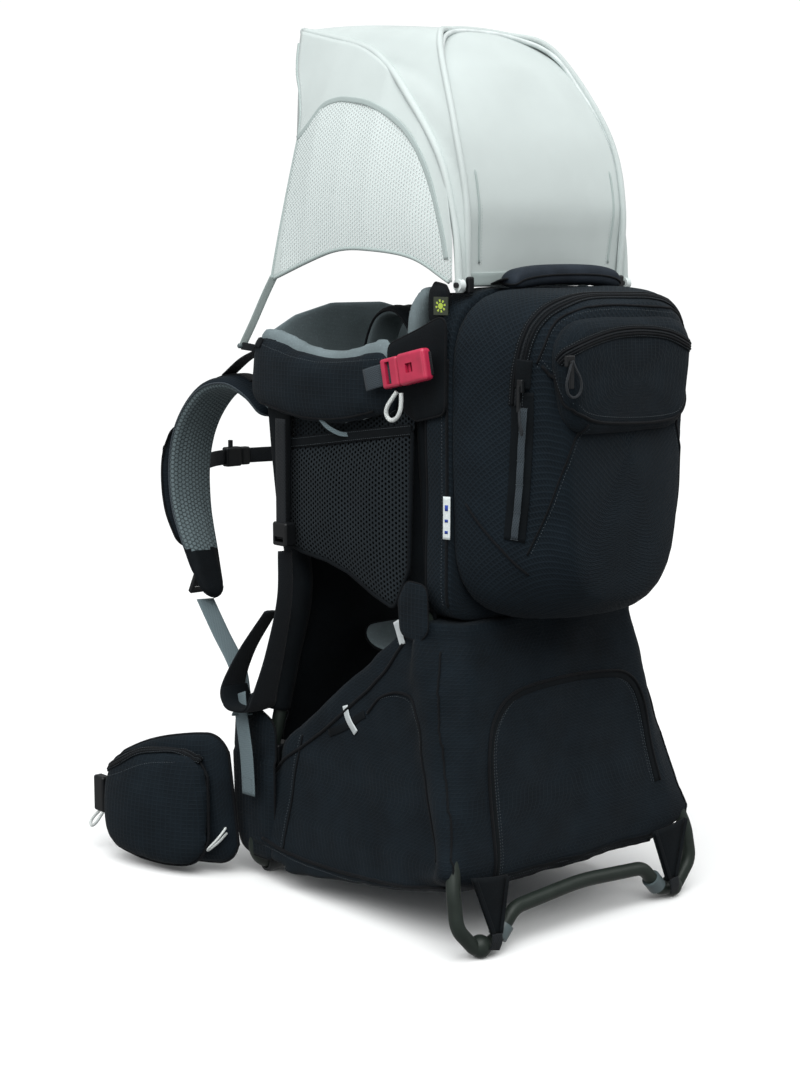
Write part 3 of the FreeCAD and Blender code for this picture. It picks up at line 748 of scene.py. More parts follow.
# ---------------------------------------------------------------- rigid CAD nodes keep their shape
KEPT = {
    M_TUBE: ["front_frame_tube", "side_rails", "cross_tubes", "stand_tube"],
    M_RUBBER: ["front_feet"],
    M_BLACK: [
        "frame_joints", "pivot_brackets", "shade_hubs", "stirrup_locks", "strap_adjusters",
        "sternum_female", "sternum_male", "chest_clip_female", "chest_clip_male",
        "hip_buckle_female", "hip_buckle_male", "main_zip_slider", "pocket_zip_slider",
    ],
    M_STEEL: ["pivot_pins"],
    M_GREY: ["stand_clips"],
    M_RED: ["side_buckle_females", "side_buckle_male_left", "side_buckle_male_right"],
    M_HOOP: ["shade_rear_hoop", "shade_front_hoop"],
}
for material, names in KEPT.items():
    for node_name in names:
        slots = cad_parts[node_name].data.materials
        if not len(slots):
            slots.append(material)
        for k in range(len(slots)):
            slots[k] = material
for k in range(len(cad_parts["stand_knuckles"].data.materials)):
    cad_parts["stand_knuckles"].data.materials[k] = M_TUBE


# ---------------------------------------------------------------- cloth that creases
def crease(rows, amount, size, seed=0.0, keep=None):
    """Gentle folds: each point moves along the surface's own outward direction."""
    rows = np.array(rows, float)
    du = np.gradient(rows, axis=1)
    dv = np.gradient(rows, axis=0)
    normal = unit(np.cross(du, dv))
    centre = rows.mean(axis=(0, 1))
    if np.sum((rows - centre) * normal) < 0:
        normal = -normal
    p = rows / size + seed
    wave = (
        np.sin(p[..., 0] * 1.9 + 2.1 * np.sin(p[..., 2] * 1.3))
        + np.sin(p[..., 2] * 2.3 + 1.7 * np.sin(p[..., 1] * 1.1 + 0.7))
        + 0.6 * np.sin((p[..., 0] + p[..., 1] - p[..., 2]) * 3.1 + 1.9 * np.sin(p[..., 1] * 2.3))
    )
    share = 1.0 if keep is None else keep[..., None]
    return rows + normal * (wave / 2.6 * amount)[..., None] * share


def outline(corners, spacing):
    """A closed plan outline with rounded corners: (x, y, radius) each, in order."""
    pts = []
    n = len(corners)
    for i, (x, y, r) in enumerate(corners):
        c = np.array([x, y], float)
        a = np.array(corners[i - 1][:2], float) - c
        b = np.array(corners[(i + 1) % n][:2], float) - c
        la, lb = np.linalg.norm(a), np.linalg.norm(b)
        a, b = a / la, b / lb
        half = math.acos(max(-1, min(1, a @ b))) / 2
        back = min(r / max(math.tan(half), 1e-6), la * 0.48, lb * 0.48)
        start, end = c + a * back, c + b * back
        for t in np.linspace(0, 1, 7):
            pts.append((1 - t) ** 2 * start + 2 * t * (1 - t) * c + t * t * end)
    pts = np.array(pts + pts[:1])
    run = np.concatenate([[0], np.cumsum(np.linalg.norm(np.diff(pts, axis=0), axis=1))])
    at = np.linspace(0, run[-1], spacing, endpoint=False)
    return np.stack([np.interp(at, run, pts[:, k]) for k in range(2)], axis=1)


def shell(name, rings, axis, mat, body, slot, steps=6, bulge=0.0, creases=None, nose=0.0, tail=0.0, **more):
    """A sewn bag form: smooth loft through equal rings, closed at both ends by drawn-in rings."""
    rings = np.array(rings, float)
    n, m, _ = rings.shape
    rows = smooth(rings.reshape(n, -1), (n - 1) * steps + 1, even=False).reshape(-1, m, 3)
    k = np.linspace(0, 1, len(rows))
    if bulge:
        middle = rows.mean(axis=1, keepdims=True)
        rows += unit(rows - middle) * (bulge * np.sin(math.pi * k))[:, None, None]
    if creases:
        rows = crease(rows, *creases)
    direction = np.array(axis, float)

    def close(row, sign, depth):
        middle = row.mean(axis=0)
        out = []
        for share, lift in (
            (0.965, 0.35), (0.88, 0.62), (0.7, 0.84), (0.45, 0.95), (0.2, 1.0), (0.02, 1.0)
        ):
            out.append(middle + (row - middle) * share + direction * sign * depth * lift)
        return out

    rows = close(rows[0], -1, tail)[::-1] + list(rows) + close(rows[-1], 1, nose)
    return grid(name, rows, mat, body, slot, wrap=True, caps=True, **more)


# ---------------------------------------------------------------- lower bag
def stand_tube_at(z):
    """Where the kick-stand tube runs at a height: distance from the middle, and y."""
    return (
        float(np.interp(z, [38, 76, 148, 330], [188, 187, 166, 145])),
        float(np.interp(z, [38, 76, 148, 330], [-189, -182, -158, -93])),
    )


def rail_y(z):
    """Where the slanting side rail runs at a height."""
    return -83 + (352 - z) * 251 / 204


def bag_ring(z, rear, front):
    half = 148 + (345 - z) * 0.085
    corners = []
    if z > 84:
        tube_x, tube_y = stand_tube_at(z)
        tube_y = max(tube_y, rear + 12)
        wide = max(half, tube_x + 15)
        corners += [
            (-min(half - 12, tube_x - 14), rear, 20), (-wide, tube_y - 6, 14), (-wide, tube_y + 12, 22)
        ]
        corners += [(-half, min(tube_y + 40, front - 30), 30)]
    else:
        corners += [(-(half - 16), rear, 30), (-half, rear + 40, 50)]
    side_front = max(front, rail_y(z) + 13) if z > 140 else front
    corners += [(-half, side_front, 16), (-half + 40, side_front, 16), (-half + 48, front, 24)]
    corners += [(-x, y, r) for x, y, r in reversed(corners)]
    flat = outline(corners, 168)
    start = int(np.argmin(np.abs(flat[:, 0]) + (flat[:, 1] - rear) ** 2))
    flat = np.roll(flat, -start, axis=0)
    return np.column_stack([flat, np.full(len(flat), z)])


BAG_RINGS = [
    (24, 76, 130), (31, 20, 158), (44, -66, 193), (58, -132, 206), (70, -178, 215), (92, -186, 218),
    (130, -180, 171), (175, -172, 111), (220, -164, 50), (262, -156, -6), (298, -150, -46),
    (331, -144, -74), (345, -142, -80), (351, -140, -84),
]
bag = shell(
    "lower_bag_shell",
    [bag_ring(*r) for r in BAG_RINGS],
    (0, 0, 1),
    M_BODY,
    None,
    "body_fabric",
    steps=6,
    creases=(2.6, 46, 0.3),
    tail=2.5,
    nose=3,
)
bag_skin = Skin(bag)


def on_bag(points, count=60, lift=0.5, closed=False):
    return bag_skin.lay(smooth(points, count, closed), lift)


def bag_trim(name, points, kind, lift=0.6, r=1.5, width=14, mat=None):
    p, n = on_bag(
        points, max(24, int(np.linalg.norm(np.diff(np.array(points, float), axis=0), axis=1).sum() / 4)),
        lift
    )
    if kind == "piping":
        return rod(name, p, r, mat or M_PIPING, None, "body_fabric", sides=8)
    return ribbon(name, p, n, width, 1.1, mat or M_DARK, None, "body_fabric", crown=0.3)


rear_arch = [
    (-131, -190, 76), (-129, -184, 120), (-126, -176, 165), (-120, -170, 212), (-104, -162, 250),
    (-72, -158, 272),
    (-8, -158, 279), (76, -158, 276), (112, -158, 266), (130, -160, 240), (138, -176, 180),
    (144, -182, 140),
]
side_seam = [(-165, 108, 190), (-166, 122, 108), (-166, 128, 46)]
side_arc = [
    (-158, -8, 236), (-158, -30, 258), (-158, -60, 268), (-158, -88, 262), (-158, -106, 238),
    (-160, -118, 200), (-164, -134, 140), (-168, -146, 96)
]
hem = [(-124, -190, 74), (-60, -190, 73), (0, -190, 73), (60, -190, 73), (124, -190, 74)]
base_line = [(-172, 168, 52), (-172, 101, 45), (-172, 8, 47), (-172, -79, 56), (-170, -150, 70)]
trims = [
    bag_trim("bag_rear_arch", rear_arch, "piping", r=1.8),
    bag_trim(
        "bag_rear_arch_tape", [(x * 0.965, y, z - (4 if z > 230 else 0)) for x, y, z in rear_arch], "tape",
        lift=0.2, width=7
    ),
    bag_trim("bag_hem", hem, "tape", lift=0.7, width=13),
]
for side, mirror in SIDES:
    trims += [
        bag_trim("bag_side_seam_" + side, mirror(side_seam), "piping", r=1.2),
        bag_trim("bag_side_pocket_" + side, mirror(side_arc), "piping", r=1.6),
        bag_trim(
            "bag_pocket_binding_" + side, mirror([(-158, 60, 200), (-158, 30, 214), (-158, -4, 234)]),
            "tape", width=9
        ),
        bag_trim("bag_base_" + side, mirror(base_line), "piping", r=1.9),
        bag_trim(
            "bag_sleeve_seam_" + side,
            mirror(
                [
                    (-150, -120, 322), (-158, -128, 260), (-166, -146, 200), (-176, -164, 140),
                    (-186, -176, 92)
                ]
            ),
            "piping", r=1.2
        ),
        bag_trim(
            "bag_edge_front_" + side,
            mirror(
                [
                    (-150, -60, 322), (-155, -26, 280), (-160, 30, 232), (-163, 92, 186), (-166, 150, 146),
                    (-168, 200, 106)
                ]
            ),
            "piping", r=2.0
        ),
    ]
thread_runs = []
for k in (0.93, 0.905):
    thread_runs.append(on_bag([(x * k, y, z - (6 if z > 230 else 0)) for x, y, z in rear_arch], 150, 0.2))
thread_runs.append(on_bag([(x, y, 76) for x, y, z in hem], 90, 1.5))
thread_runs.append(on_bag([(x, y, 70) for x, y, z in hem], 90, 1.5))
for mirror in (same, flip):
    thread_runs.append(on_bag(mirror([(x, y + 5, z - 5) for x, y, z in side_arc]), 90, 0.2))
    thread_runs.append(on_bag(mirror([(x, y, z - 6) for x, y, z in base_line]), 90, 0.2))
    thread_runs.append(on_bag(mirror([(x, y + 5, z) for x, y, z in side_seam]), 50, 0.2))
bag_thread = stitches("bag_stitching", thread_runs, M_THREAD, None)

# pale reflective pull tabs on the bag's sides
for side, mirror in SIDES:
    for i, (a, b, c) in enumerate(
        (
            ((-158, 30, 238), (-160, 24, 224), (-160, 10, 210)),
            ((-151, -48, 346), (-152, -54, 336), (-152, -60, 322))
        )
    ):
        p = smooth(mirror([a, b, c]), 14)[:, :3]
        n = np.tile(mirror((-1, 0, 0.25)), (14, 1))
        if i == 0:
            p, n = bag_skin.lay(p, 1.2)
        ribbon("bag_tab_%s_%d" % (side, i), p, n, 9, 1.2, M_REFLECT, "root", "webbing_grey")

lower_all = join("lower_bag_shell", bag, *trims, bag_thread)
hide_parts("lower_bag_front", "lower_bag_middle", "lower_bag_rear")
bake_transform(lower_all)


def gusset(name, corners, body):
    """A webbing-faced triangle that ties the bag to the foot of the stand."""
    a, b, c = (np.array(p, float) for p in corners)
    rows = []
    for t in np.linspace(0, 1, 12):
        left, right = a + (c - (7, 0, 0) - a) * t, b + (c + (7, 0, 0) - b) * t
        k = np.linspace(0, 1, 10)[:, None]
        rows.append(left + (right - left) * k + np.array([0, -3.0, 0]) * np.sin(math.pi * k) * (1 - t))
    rows = np.array(rows)
    back = rows + np.array([0, 2.4, 0])
    closed = np.concatenate([rows, back[:, ::-1]], axis=1)
    return grid(name, closed, M_DARK, body, "body_fabric", wrap=True, caps=True)


gusset("gusset_left", [(-172, -195, 92), (-117, -193, 84), (-141, -202, 24)], "stand")
gusset("gusset_right", [(117, -193, 84), (172, -195, 92), (141, -202, 24)], "stand")
for side, s in (("left", -1), ("right", 1)):
    p = straight([(s * 170, -198, 92), (s * 147, -204, 26)], 5)
    q = straight([(s * 120, -196, 84), (s * 137, -204, 26)], 5)
    n = np.tile((0, -1, 0.1), (len(p), 1))
    m = np.tile((0, -1, 0.1), (len(q), 1))
    ribbon("gusset_edge_a_" + side, p, n, 5, 1.2, M_DARK, "stand", "webbing_dark")
    ribbon("gusset_edge_b_" + side, q, m, 5, 1.2, M_DARK, "stand", "webbing_dark")
    wrap = smooth([(s * 143, -204, 27), (s * 144, -205, 18), (s * 146, -203, 9)], 12)[:, :3]
    ribbon(
        "gusset_tie_" + side, wrap, np.tile((0, -1, 0.0), (12, 1)), 15, 1.6, M_WEB, "stand", "webbing_dark"
    )


# ---------------------------------------------------------------- rear body and daypack
def plan_ring(y, half, z0, z1, top, low, taper, count=120):
    """One ring of a bag face: a rounded rectangle, narrower at its low side."""
    w = half * taper
    corners = [(-w, z0, low), (-half, z1, top), (half, z1, top), (w, z0, low)]
    flat = outline(corners, count)
    start = int(np.argmin(np.abs(flat[:, 0]) + np.abs(flat[:, 1] - z0)))
    flat = np.roll(flat, -start, axis=0)
    return np.column_stack([flat[:, 0], np.full(len(flat), y), flat[:, 1]])


rear = shell(
    "rear_body_shell",
    [
        plan_ring(y, h, 353, 712, 74, r, 1.0) for y, h,
        r in ((-90, 141, 30), (-95, 147, 34), (-112, 149, 36), (-127, 148, 36), (-131, 145, 36))
    ],
    (0, -1, 0),
    M_DOBBY,
    "root",
    "body_fabric",
    creases=(1.2, 60, 1.7),
)
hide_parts("rear_body")

DAY_RINGS = [
    (-132.5, 146, 366, 704, 78, 84, 0.97), (-140, 147, 358, 710, 80, 88, 0.96),
    (-154, 146, 354, 712, 80, 92, 0.95),
    (-170, 143, 353, 712, 78, 96, 0.93), (-192, 136, 355, 711, 74, 96, 0.9),
    (-215, 127, 360, 708, 70, 94, 0.86),
    (-232, 114, 368, 702, 66, 88, 0.83), (-244, 101, 378, 696, 62, 78, 0.8),
]
day = shell(
    "daypack_shell",
    [plan_ring(*r) for r in DAY_RINGS],
    (0, -1, 0),
    M_DOBBY,
    "daypack",
    "body_fabric",
    steps=5,
    creases=(1.3, 74, 4.1),
    nose=8,
)
pocket = shell(
    "daypack_pocket_shell",
    [
        plan_ring(y, h, z0, z1, a, b, 0.84, 96) + (-9, 0, 0)
        for y, h, z0, z1, a, b in (
            (-238, 101, 566, 680, 44, 36), (-248, 104, 562, 682, 44, 40), (-257, 103, 563, 680, 42, 40),
            (-263, 97, 569, 674, 40, 36),
        )
    ],
    (0, -1, 0),
    M_BODY,
    "daypack",
    "body_fabric",
    creases=(0.9, 34, 2.2),
    nose=3.5,
)
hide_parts("daypack_pocket")
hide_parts("daypack_body")
day_skin = Skin(day, pocket)


def count_for(points, step=4.0):
    return max(
        16, int(np.linalg.norm(np.diff(np.array(points, float)[:, :3], axis=0), axis=1).sum() / step)
    )


def day_line(points, lift, passes=2):
    return day_skin.lay(smooth(points, count_for(points))[:, :3], lift, passes)


def zip_run(name, points, skin, body, tape=15, coil=2.6):
    """A closed zip: tape, reversed coil and two stitch lines."""
    fine = smooth(points, count_for(points, 3.0))[:, :3]
    p, n = skin.lay(fine, 0.5, 3)
    parts = [ribbon(name + "_tape", p, n, tape, 1.3, M_DARK, body, "body_fabric", crown=0.5)]
    side = unit(np.cross(unit(np.gradient(p, axis=0)), n))
    for k, s in enumerate((-1, 1)):
        parts.append(
            rod(
                name + "_lip_%d" % k, p + n * 0.9 + side * s * tape * 0.23, 1.25, M_PIPING, body,
                "body_fabric"
            )
        )
    parts.append(rod(name + "_coil", p + n * 1.0, coil / 2, M_WEB, body, "webbing_dark"))
    runs = [(p + n * 0.9 + side * s * tape * 0.42, n) for s in (-1, 1)]
    parts.append(stitches(name + "_thread", runs, M_THREAD, body, pitch=3.0, long=2.0, r=0.28))
    return join(name, *parts)


main_zip = [
    (-125, -207, 592), (-126, -211, 625), (-121, -219, 664), (-104, -223, 685), (-76, -229, 699),
    (-28, -226, 705), (22, -229, 703), (65, -231, 699), (98, -226, 686), (118, -219, 664), (124, -211, 625),
    (124, -207, 592),
]
zip_run("daypack_main_zip", main_zip, day_skin, "daypack", tape=17)
inner_seam = [
    (-117, -229, 636), (-112, -234, 653), (-99, -236, 677), (-77, -241, 689), (-24, -245, 695),
    (34, -248, 693), (77, -241, 687), (100, -236, 675), (112, -234, 653)
]
pocket_zip = [
    (-116, -250, 638), (-104, -262, 649), (-78, -267, 659), (-38, -268, 667), (7, -268, 668),
    (46, -267, 663), (84, -262, 649)
]
pocket_base = [
    (-114, -233, 634), (-108, -239, 624), (-97, -251, 600), (-74, -261, 579), (-13, -264, 572),
    (43, -264, 572), (70, -264, 580), (94, -251, 612)
]
vee = [(-74, -258, 576), (-92, -246, 528), (-101, -230, 480), (-110, -212, 436)]
vee_right = flip(vee)
wedge = [(-141, -150, 486), (-139, -166, 466), (-134, -184, 446), (-126, -200, 428), (-112, -214, 412)]
for i, (line, r) in enumerate(
    ((inner_seam, 1.3), (pocket_base, 1.7), (vee, 1.1), (vee_right, 1.1), (wedge, 1.3), (flip(wedge), 1.3))
):
    p, n = day_line(line, 0.5)
    rod("daypack_seam_%d" % i, p, r, M_PIPING, "daypack", "body_fabric")
zip_run("daypack_pocket_zip", pocket_zip, day_skin, "daypack", tape=13, coil=2.2)
runs = []
for line, shift in (
    (inner_seam, (0, 0, -5)), (pocket_base, (0, 0, 6)), (vee, (5, 0, 0)), (vee_right, (-5, 0, 0))
):
    runs.append(day_line([np.array(p) + shift for p in line], 0.15))
stitches("daypack_stitching", runs, M_THREAD, "daypack")

# daisy-chain webbing on each side, with its dark ground strip
for side, mirror in SIDES:
    ground = mirror([(-126, -216, 606), (-124, -214, 557), (-121, -209, 504), (-118, -201, 450)])
    p, n = day_line(ground, 0.5, 3)
    ribbon("daypack_ladder_ground_" + side, p, n, 24, 1.2, M_DARK, "daypack", "body_fabric", crown=0.4)
    p, n = day_line(
        mirror([(-125, -218, 590), (-124, -215, 557), (-121, -210, 504), (-118, -202, 452)]), 1.8, 4
    )
    bumps = 1.0 + 1.1 * np.abs(np.sin(np.linspace(0, math.pi * 5, len(p))))[:, None]
    ribbon("daypack_ladder_" + side, p + n * bumps, n, 7.5, 1.3, M_WEB_MID, "daypack", "webbing_grey")
    tacks = []
    for k in np.linspace(0, len(p) - 1, 6).astype(int):
        s = unit(np.cross(n[k], p[min(k + 1, len(p) - 1)] - p[max(k - 1, 0)]))
        tacks.append(
            (np.array([p[k] - s * 4.6 + n[k] * 2.0, p[k] + s * 4.6 + n[k] * 2.0]), np.array([n[k], n[k]]))
        )
    stitches("daypack_ladder_tacks_" + side, tacks, M_THREAD, "daypack", pitch=1.3, long=1.1, r=0.5)
    p, n = day_line(mirror([(-122, -217, 640), (-123, -216, 626), (-124, -215, 610)]), 1.6, 3)
    ribbon("daypack_zip_garage_" + side, p, n, 17, 2.4, M_DARK, "daypack", "body_fabric", crown=1.0)

# folded edge at the pocket's right end
p, n = day_line([(84, -251, 648), (90, -250, 628), (91, -248, 606), (88, -248, 586)], 1.0, 3)
ribbon("daypack_pocket_edge", p, n, 10, 2.0, M_DARK, "daypack", "body_fabric", crown=0.6)

rear_skin = Skin(rear)
for i, (x, z0, z1) in enumerate(((-147, 372, 694), (147, 372, 694))):
    line = [(x, -127, z0), (x, -127, (z0 + z1) / 2 - 20), (x, -127, z1 - 56)]
    p, n = rear_skin.lay(smooth(line, 70)[:, :3], 0.4, 3)
    rod("rear_body_edge_%d" % i, p, 1.7, M_PIPING, "root", "body_fabric")
    line = [(x, -94, z0), (x, -94, (z0 + z1) / 2 - 20), (x, -94, z1 - 56)]
    p, n = rear_skin.lay(smooth(line, 70)[:, :3], 0.4, 3)
    rod("rear_body_front_edge_%d" % i, p, 1.5, M_PIPING, "root", "body_fabric")
    stitches(
        "rear_body_thread_%d" % i,
        [rear_skin.lay(smooth([(x, -120, z0), (x, -120, z1 - 60)], 90)[:, :3], 0.2)], M_THREAD, "root"
    )
p, n = rear_skin.lay(straight([(-148, -128, 492), (-148, -128, 446)], 3), 2.0, 3)
ribbon("side_tag", p, n, 9, 1.0, M_LABEL, "root", "body_fabric")
for i, (a, b) in enumerate(((3, 6), (8, 10), (12, 14))):
    ribbon(
        "side_tag_mark_%d" % i, p[a:b] + n[a:b] * 0.7, n[a:b], 4, 0.4, M_TAG_BLUE, "root", "webbing_dark"
    )



# ---------------------------------------------------------------- pads
def half_tree(rows):
    """Search tree over one face of a pad's grid."""
    n, m = rows.shape[:2]
    faces = [
        (
            i * m + j, i * m + j + 1, (i + 1) * m + j + 1, (i + 1) * m + j
        ) for i in range(n - 1) for j in range(m - 1)
    ]
    return BVHTree.FromPolygons([tuple(c) for c in metres(rows.reshape(-1, 3))], faces)


def two_sided(name, pad, plus, minus, body, slot, edge_r=1.6, edge_mat=None, air=0.0):
    """A pad whose faces are two cloths, with piping sewn round its widest line."""
    rows = pad["rows"]
    m = rows.shape[1]
    obj = grid(name, rows, plus, body, slot, wrap=True, caps=True)
    if air:
        puff(obj, pressure=air)
    obj.data.materials.append(minus)
    faces = half_tree(rows[:, : m // 2 + 1]), half_tree(
        np.concatenate([rows[:, m // 2:], rows[:, :1]], axis=1)
    )
    for poly in obj.data.polygons:
        near = [tree.find_nearest(poly.center)[3] for tree in faces]
        poly.material_index = 0 if near[0] <= near[1] else 1
    parts = [obj]
    if edge_r:
        r = rim(pad)
        keep = np.concatenate([[True], np.linalg.norm(np.diff(r, axis=0), axis=1) > 0.6])
        parts.append(
            rod(
                name + "_piping", smooth(r[keep], 150, closed=True)[:, :3], edge_r, edge_mat or M_PIPING,
                body, slot, closed=True
            )
        )
    obj = join(name, *parts) if len(parts) > 1 else obj
    return obj


def mirrored_pad(pad):
    out = dict(pad)
    out["rows"] = flip(pad["rows"])
    return out


def panel(
    name, corners, place, thick, mat, body, slot, radius=10, crown=2.6, rings=9, count=96, edge_r=1.4,
    lining=None
):
    """A flat-cut padded panel from its outline (u, v); place(u, v, h) puts a point in space."""
    flat = outline([(u, v, radius) for u, v in corners], count)
    middle = flat.mean(axis=0)
    shares = [math.sin(math.pi / 2 * k / rings) for k in range(rings + 1)]
    rows = []
    for sign in (1, -1):
        part = []
        for s in shares:
            uv = middle + (flat - middle) * max(s, 0.01)
            h = (1 - s**crown) ** (1 / crown) * thick / 2 * sign
            part.append([place(u, v, h) for u, v in uv])
        rows += part if sign == 1 else part[::-1][1:]
    obj = grid(name, rows, mat, body, slot, wrap=True, caps=True)
    box_uv(obj)
    if lining is not None:
        obj.data.materials.append(lining)
        inner = Vector(np.array(place(*middle, -50)) - np.array(place(*middle, 50)))
        for poly in obj.data.polygons:
            poly.material_index = 1 if poly.normal.dot(inner) > 0 else 0
    if edge_r:
        edge = [place(u, v, 0) for u, v in flat]
        obj = join(name, obj, rod(name + "_piping", edge, edge_r, M_PIPING, body, slot, closed=True))
    return obj


# wearer's back panel and lumbar pad
back = pad_grid(
    [
        (0, 214, 122, 236, 12), (0, 190, 196, 236, 13), (0, 168, 268, 236, 13), (0, 160, 338, 236, 13),
        (0, 172, 434, 236, 13), (0, 188, 520, 232, 13)
    ],
    (1, 0, 0), count=90, around=56, corner=34, power=3.2)
channels = [
    [(-118, t), (118, t)] for t in range(40, 400, 34)
] + [[(s * 30, 0), (s * 30, 420)] for s in (-1, 1)]
groove(back, channels, depth=2.4, spread=4.0, faces=(1,))
two_sided("back_panel_pad", back, M_SPACER, M_DARK, "root", "spacer_mesh")
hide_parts("back_panel")
lumbar = pad_grid(
    [(0, 238, 40, 250, 18), (0, 242, 110, 262, 26), (0, 224, 186, 240, 16)], (1, 0, 0), count=50, around=56,
    corner=36, power=2.5
)
groove(
    lumbar, [[(-80, 10), (-60, 75), (-80, 140)], [(80, 10), (60, 75), (80, 140)]], depth=3.0, spread=4.5,
    faces=(1,)
)
lumbar_obj = two_sided("lumbar_pad_soft", lumbar, M_SPACER, M_DARK, "root", "spacer_mesh")
for side, s in (("left", -1), ("right", 1)):
    ROOT = [(150, 196), (190, 212), (226, 212), (231, 158), (228, 83), (218, 34), (190, 26), (150, 26)]
    panel(
        "belt_root_" + side, ROOT, lambda u, v, h, s=s: (s * (168.5 + h + 2.5 * (v < 150)), u, v), 12,
        M_BODY, "root", "pad_fabric", radius=22
    )
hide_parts("lumbar_pad")


# shoulder straps, their pouches, yoke
STRAP = [
    (-98, 229, 556, 58, 15), (-103, 254, 580, 62, 17), (-108, 290, 592, 64, 18), (-113, 335, 580, 64, 19),
    (-118, 372, 540, 64, 19), (-122, 386, 490, 62, 18), (-126, 378, 430, 58, 17), (-131, 348, 372, 46, 15),
    (-134, 318, 322, 28, 11),
]
for side in ("left", "right"):
    pad = pad_grid(STRAP, (1, 0, 0), count=110, around=36, corner=16, power=2.3)
    L = pad["length"]
    groove(pad, [[(-19, 20), (-19, L - 40)], [(19, 20), (19, L - 40)]], depth=1.6, spread=3.0)
    if side == "right":
        pad = mirrored_pad(pad)
    obj = two_sided(
        "shoulder_strap_pad_" + side, pad, M_SPACER, M_LINES, "harness", "spacer_mesh", edge_r=1.3,
        edge_mat=M_WEB_MID
    )
    obj.data.materials.append(M_DARK)
    low_end = float(metres((0, 0, STRAP_TIP_Z))[2])
    for poly in obj.data.polygons:
        if poly.center.z < low_end:
            poly.material_index = len(obj.data.materials) - 1
    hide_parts("shoulder_strap_" + side)
    strap_skin = Skin(obj)
    pouch = pad_grid(
        [
            (-119, 391, 534, 50, 12), (-122, 406, 490, 56, 20), (-126, 398, 430, 54, 22),
            (-130, 371, 380, 40, 12)
        ],
        (1, 0, 0), count=60, around=36, corner=16, power=2.3
    )
    groove(pouch, [[(-30, 34), (30, 34)]], depth=2.0, spread=2.4)
    if side == "right":
        pouch = mirrored_pad(pouch)
    obj = two_sided(
        "strap_pouch_" + side, pouch, M_BODY, M_BODY, "harness", "body_fabric", edge_r=1.5,
        air=3.0
    )
    if side == "left":
        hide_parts("strap_pouches")
    mirror = same if side == "left" else flip
    daisy = mirror([(-108, 262, 594), (-110, 300, 602), (-113, 338, 590), (-117, 376, 550)])
    p, n = strap_skin.lay(smooth(daisy, 40)[:, :3], 1.0, 3)
    ribbon("strap_daisy_" + side, p, n, 20, 1.5, M_WEB, "harness", "webbing_dark")
    edge_run = [
        strap_skin.lay(
            smooth(mirror([(x + d, y, z) for x, y, z, _, _ in STRAP[1:-1]]), 150)[:, :3], 0.2
        ) for d in (-24, 24)
    ]
    stitches("strap_thread_" + side, edge_run, M_THREAD, "harness")
yoke = pad_grid(
    [(0, 213.4, 470, 190, 7), (0, 216, 520, 214, 8), (0, 224, 566, 234, 9)], (1, 0, 0), count=44, around=44,
    corner=24, power=3
)
groove(yoke, [[(-90, 30), (90, 30)], [(-95, 62), (95, 62)]], depth=1.4, spread=3, faces=(1,))
obj = two_sided("harness_yoke_pad", yoke, M_SPACER, M_DARK, "harness", "spacer_mesh")
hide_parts("harness_yoke")

# lower harness webbing with its box tack, load lifters
for side, mirror in SIDES:
    path = smooth(
        mirror(
            [
                (-138, 334, 318), (-142, 296, 281), (-146, 256, 244), (-151, 240, 212), (-168, 214, 204),
                (-184, 196, 201)
            ]
        ),
        70
    )[:, :3]
    turn = np.clip((np.arange(70) - 48) / 20, 0, 1)[:, None]
    across = unit((1 - turn) * SIDEWAYS + turn * np.array(mirror((-0.35, 0.94, 0.0))))
    _, _, normal = frames_along(path, across)
    a = ribbon("harness_tail_" + side, path, normal, 25, 2, M_WEB_GREY, None, "webbing_grey")
    down = smooth(
        mirror(
            [
                (-182, 203, 226), (-185, 197, 210), (-188, 188, 184), (-189.2, 181, 158),
                (-189.4, 178, 130), (-189.2, 177, 107)
            ]
        ),
        30
    )[:, :3]
    b = ribbon(
        "harness_end_" + side, down, np.tile(mirror((-1, 0, 0)), (30, 1)), 25, 2, M_WEB_GREY, None,
        "webbing_grey"
    )
    box_tack = straight(
        mirror(
            [
                (-190.6, 169, 112), (-190.6, 187, 112), (-190.6, 187, 128), (-190.6, 169, 128),
                (-190.6, 169, 112)
            ]
        ),
        2
    )
    c = stitches(
        "harness_tack_" + side, [(box_tack, np.tile(mirror((-1, 0, 0)), (len(box_tack), 1)))], M_THREAD,
        None
    )
    web = join("harness_webbing_" + side, a, b, c)
    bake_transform(web)
    strap(
        "load_lifter_" + side, mirror([(-136, 210, 636), (-124, 262, 622), (-111, 314, 601)]), (1, 0, 0),
        20, 2.2, M_WEB, "harness", "webbing_dark", count=30
    )
    if side == "left":
        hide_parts("harness_webbing")

# sternum strap
left = strap(
    "sternum_web_left", [(-72, 416, 482), (-50, 431, 482), (-28, 439.5, 482)], (0, 0, 1), 20, 2.0, M_WEB,
    "sternum_left", "webbing_dark", count=30
)
right = strap(
    "sternum_web_right", [(9, 439.5, 482), (50, 431, 482), (70, 418, 482)], (0, 0, 1), 20, 2.0, M_WEB,
    "sternum_right", "webbing_dark", count=30
)
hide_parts("sternum_strap_left")
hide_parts("sternum_strap_right")

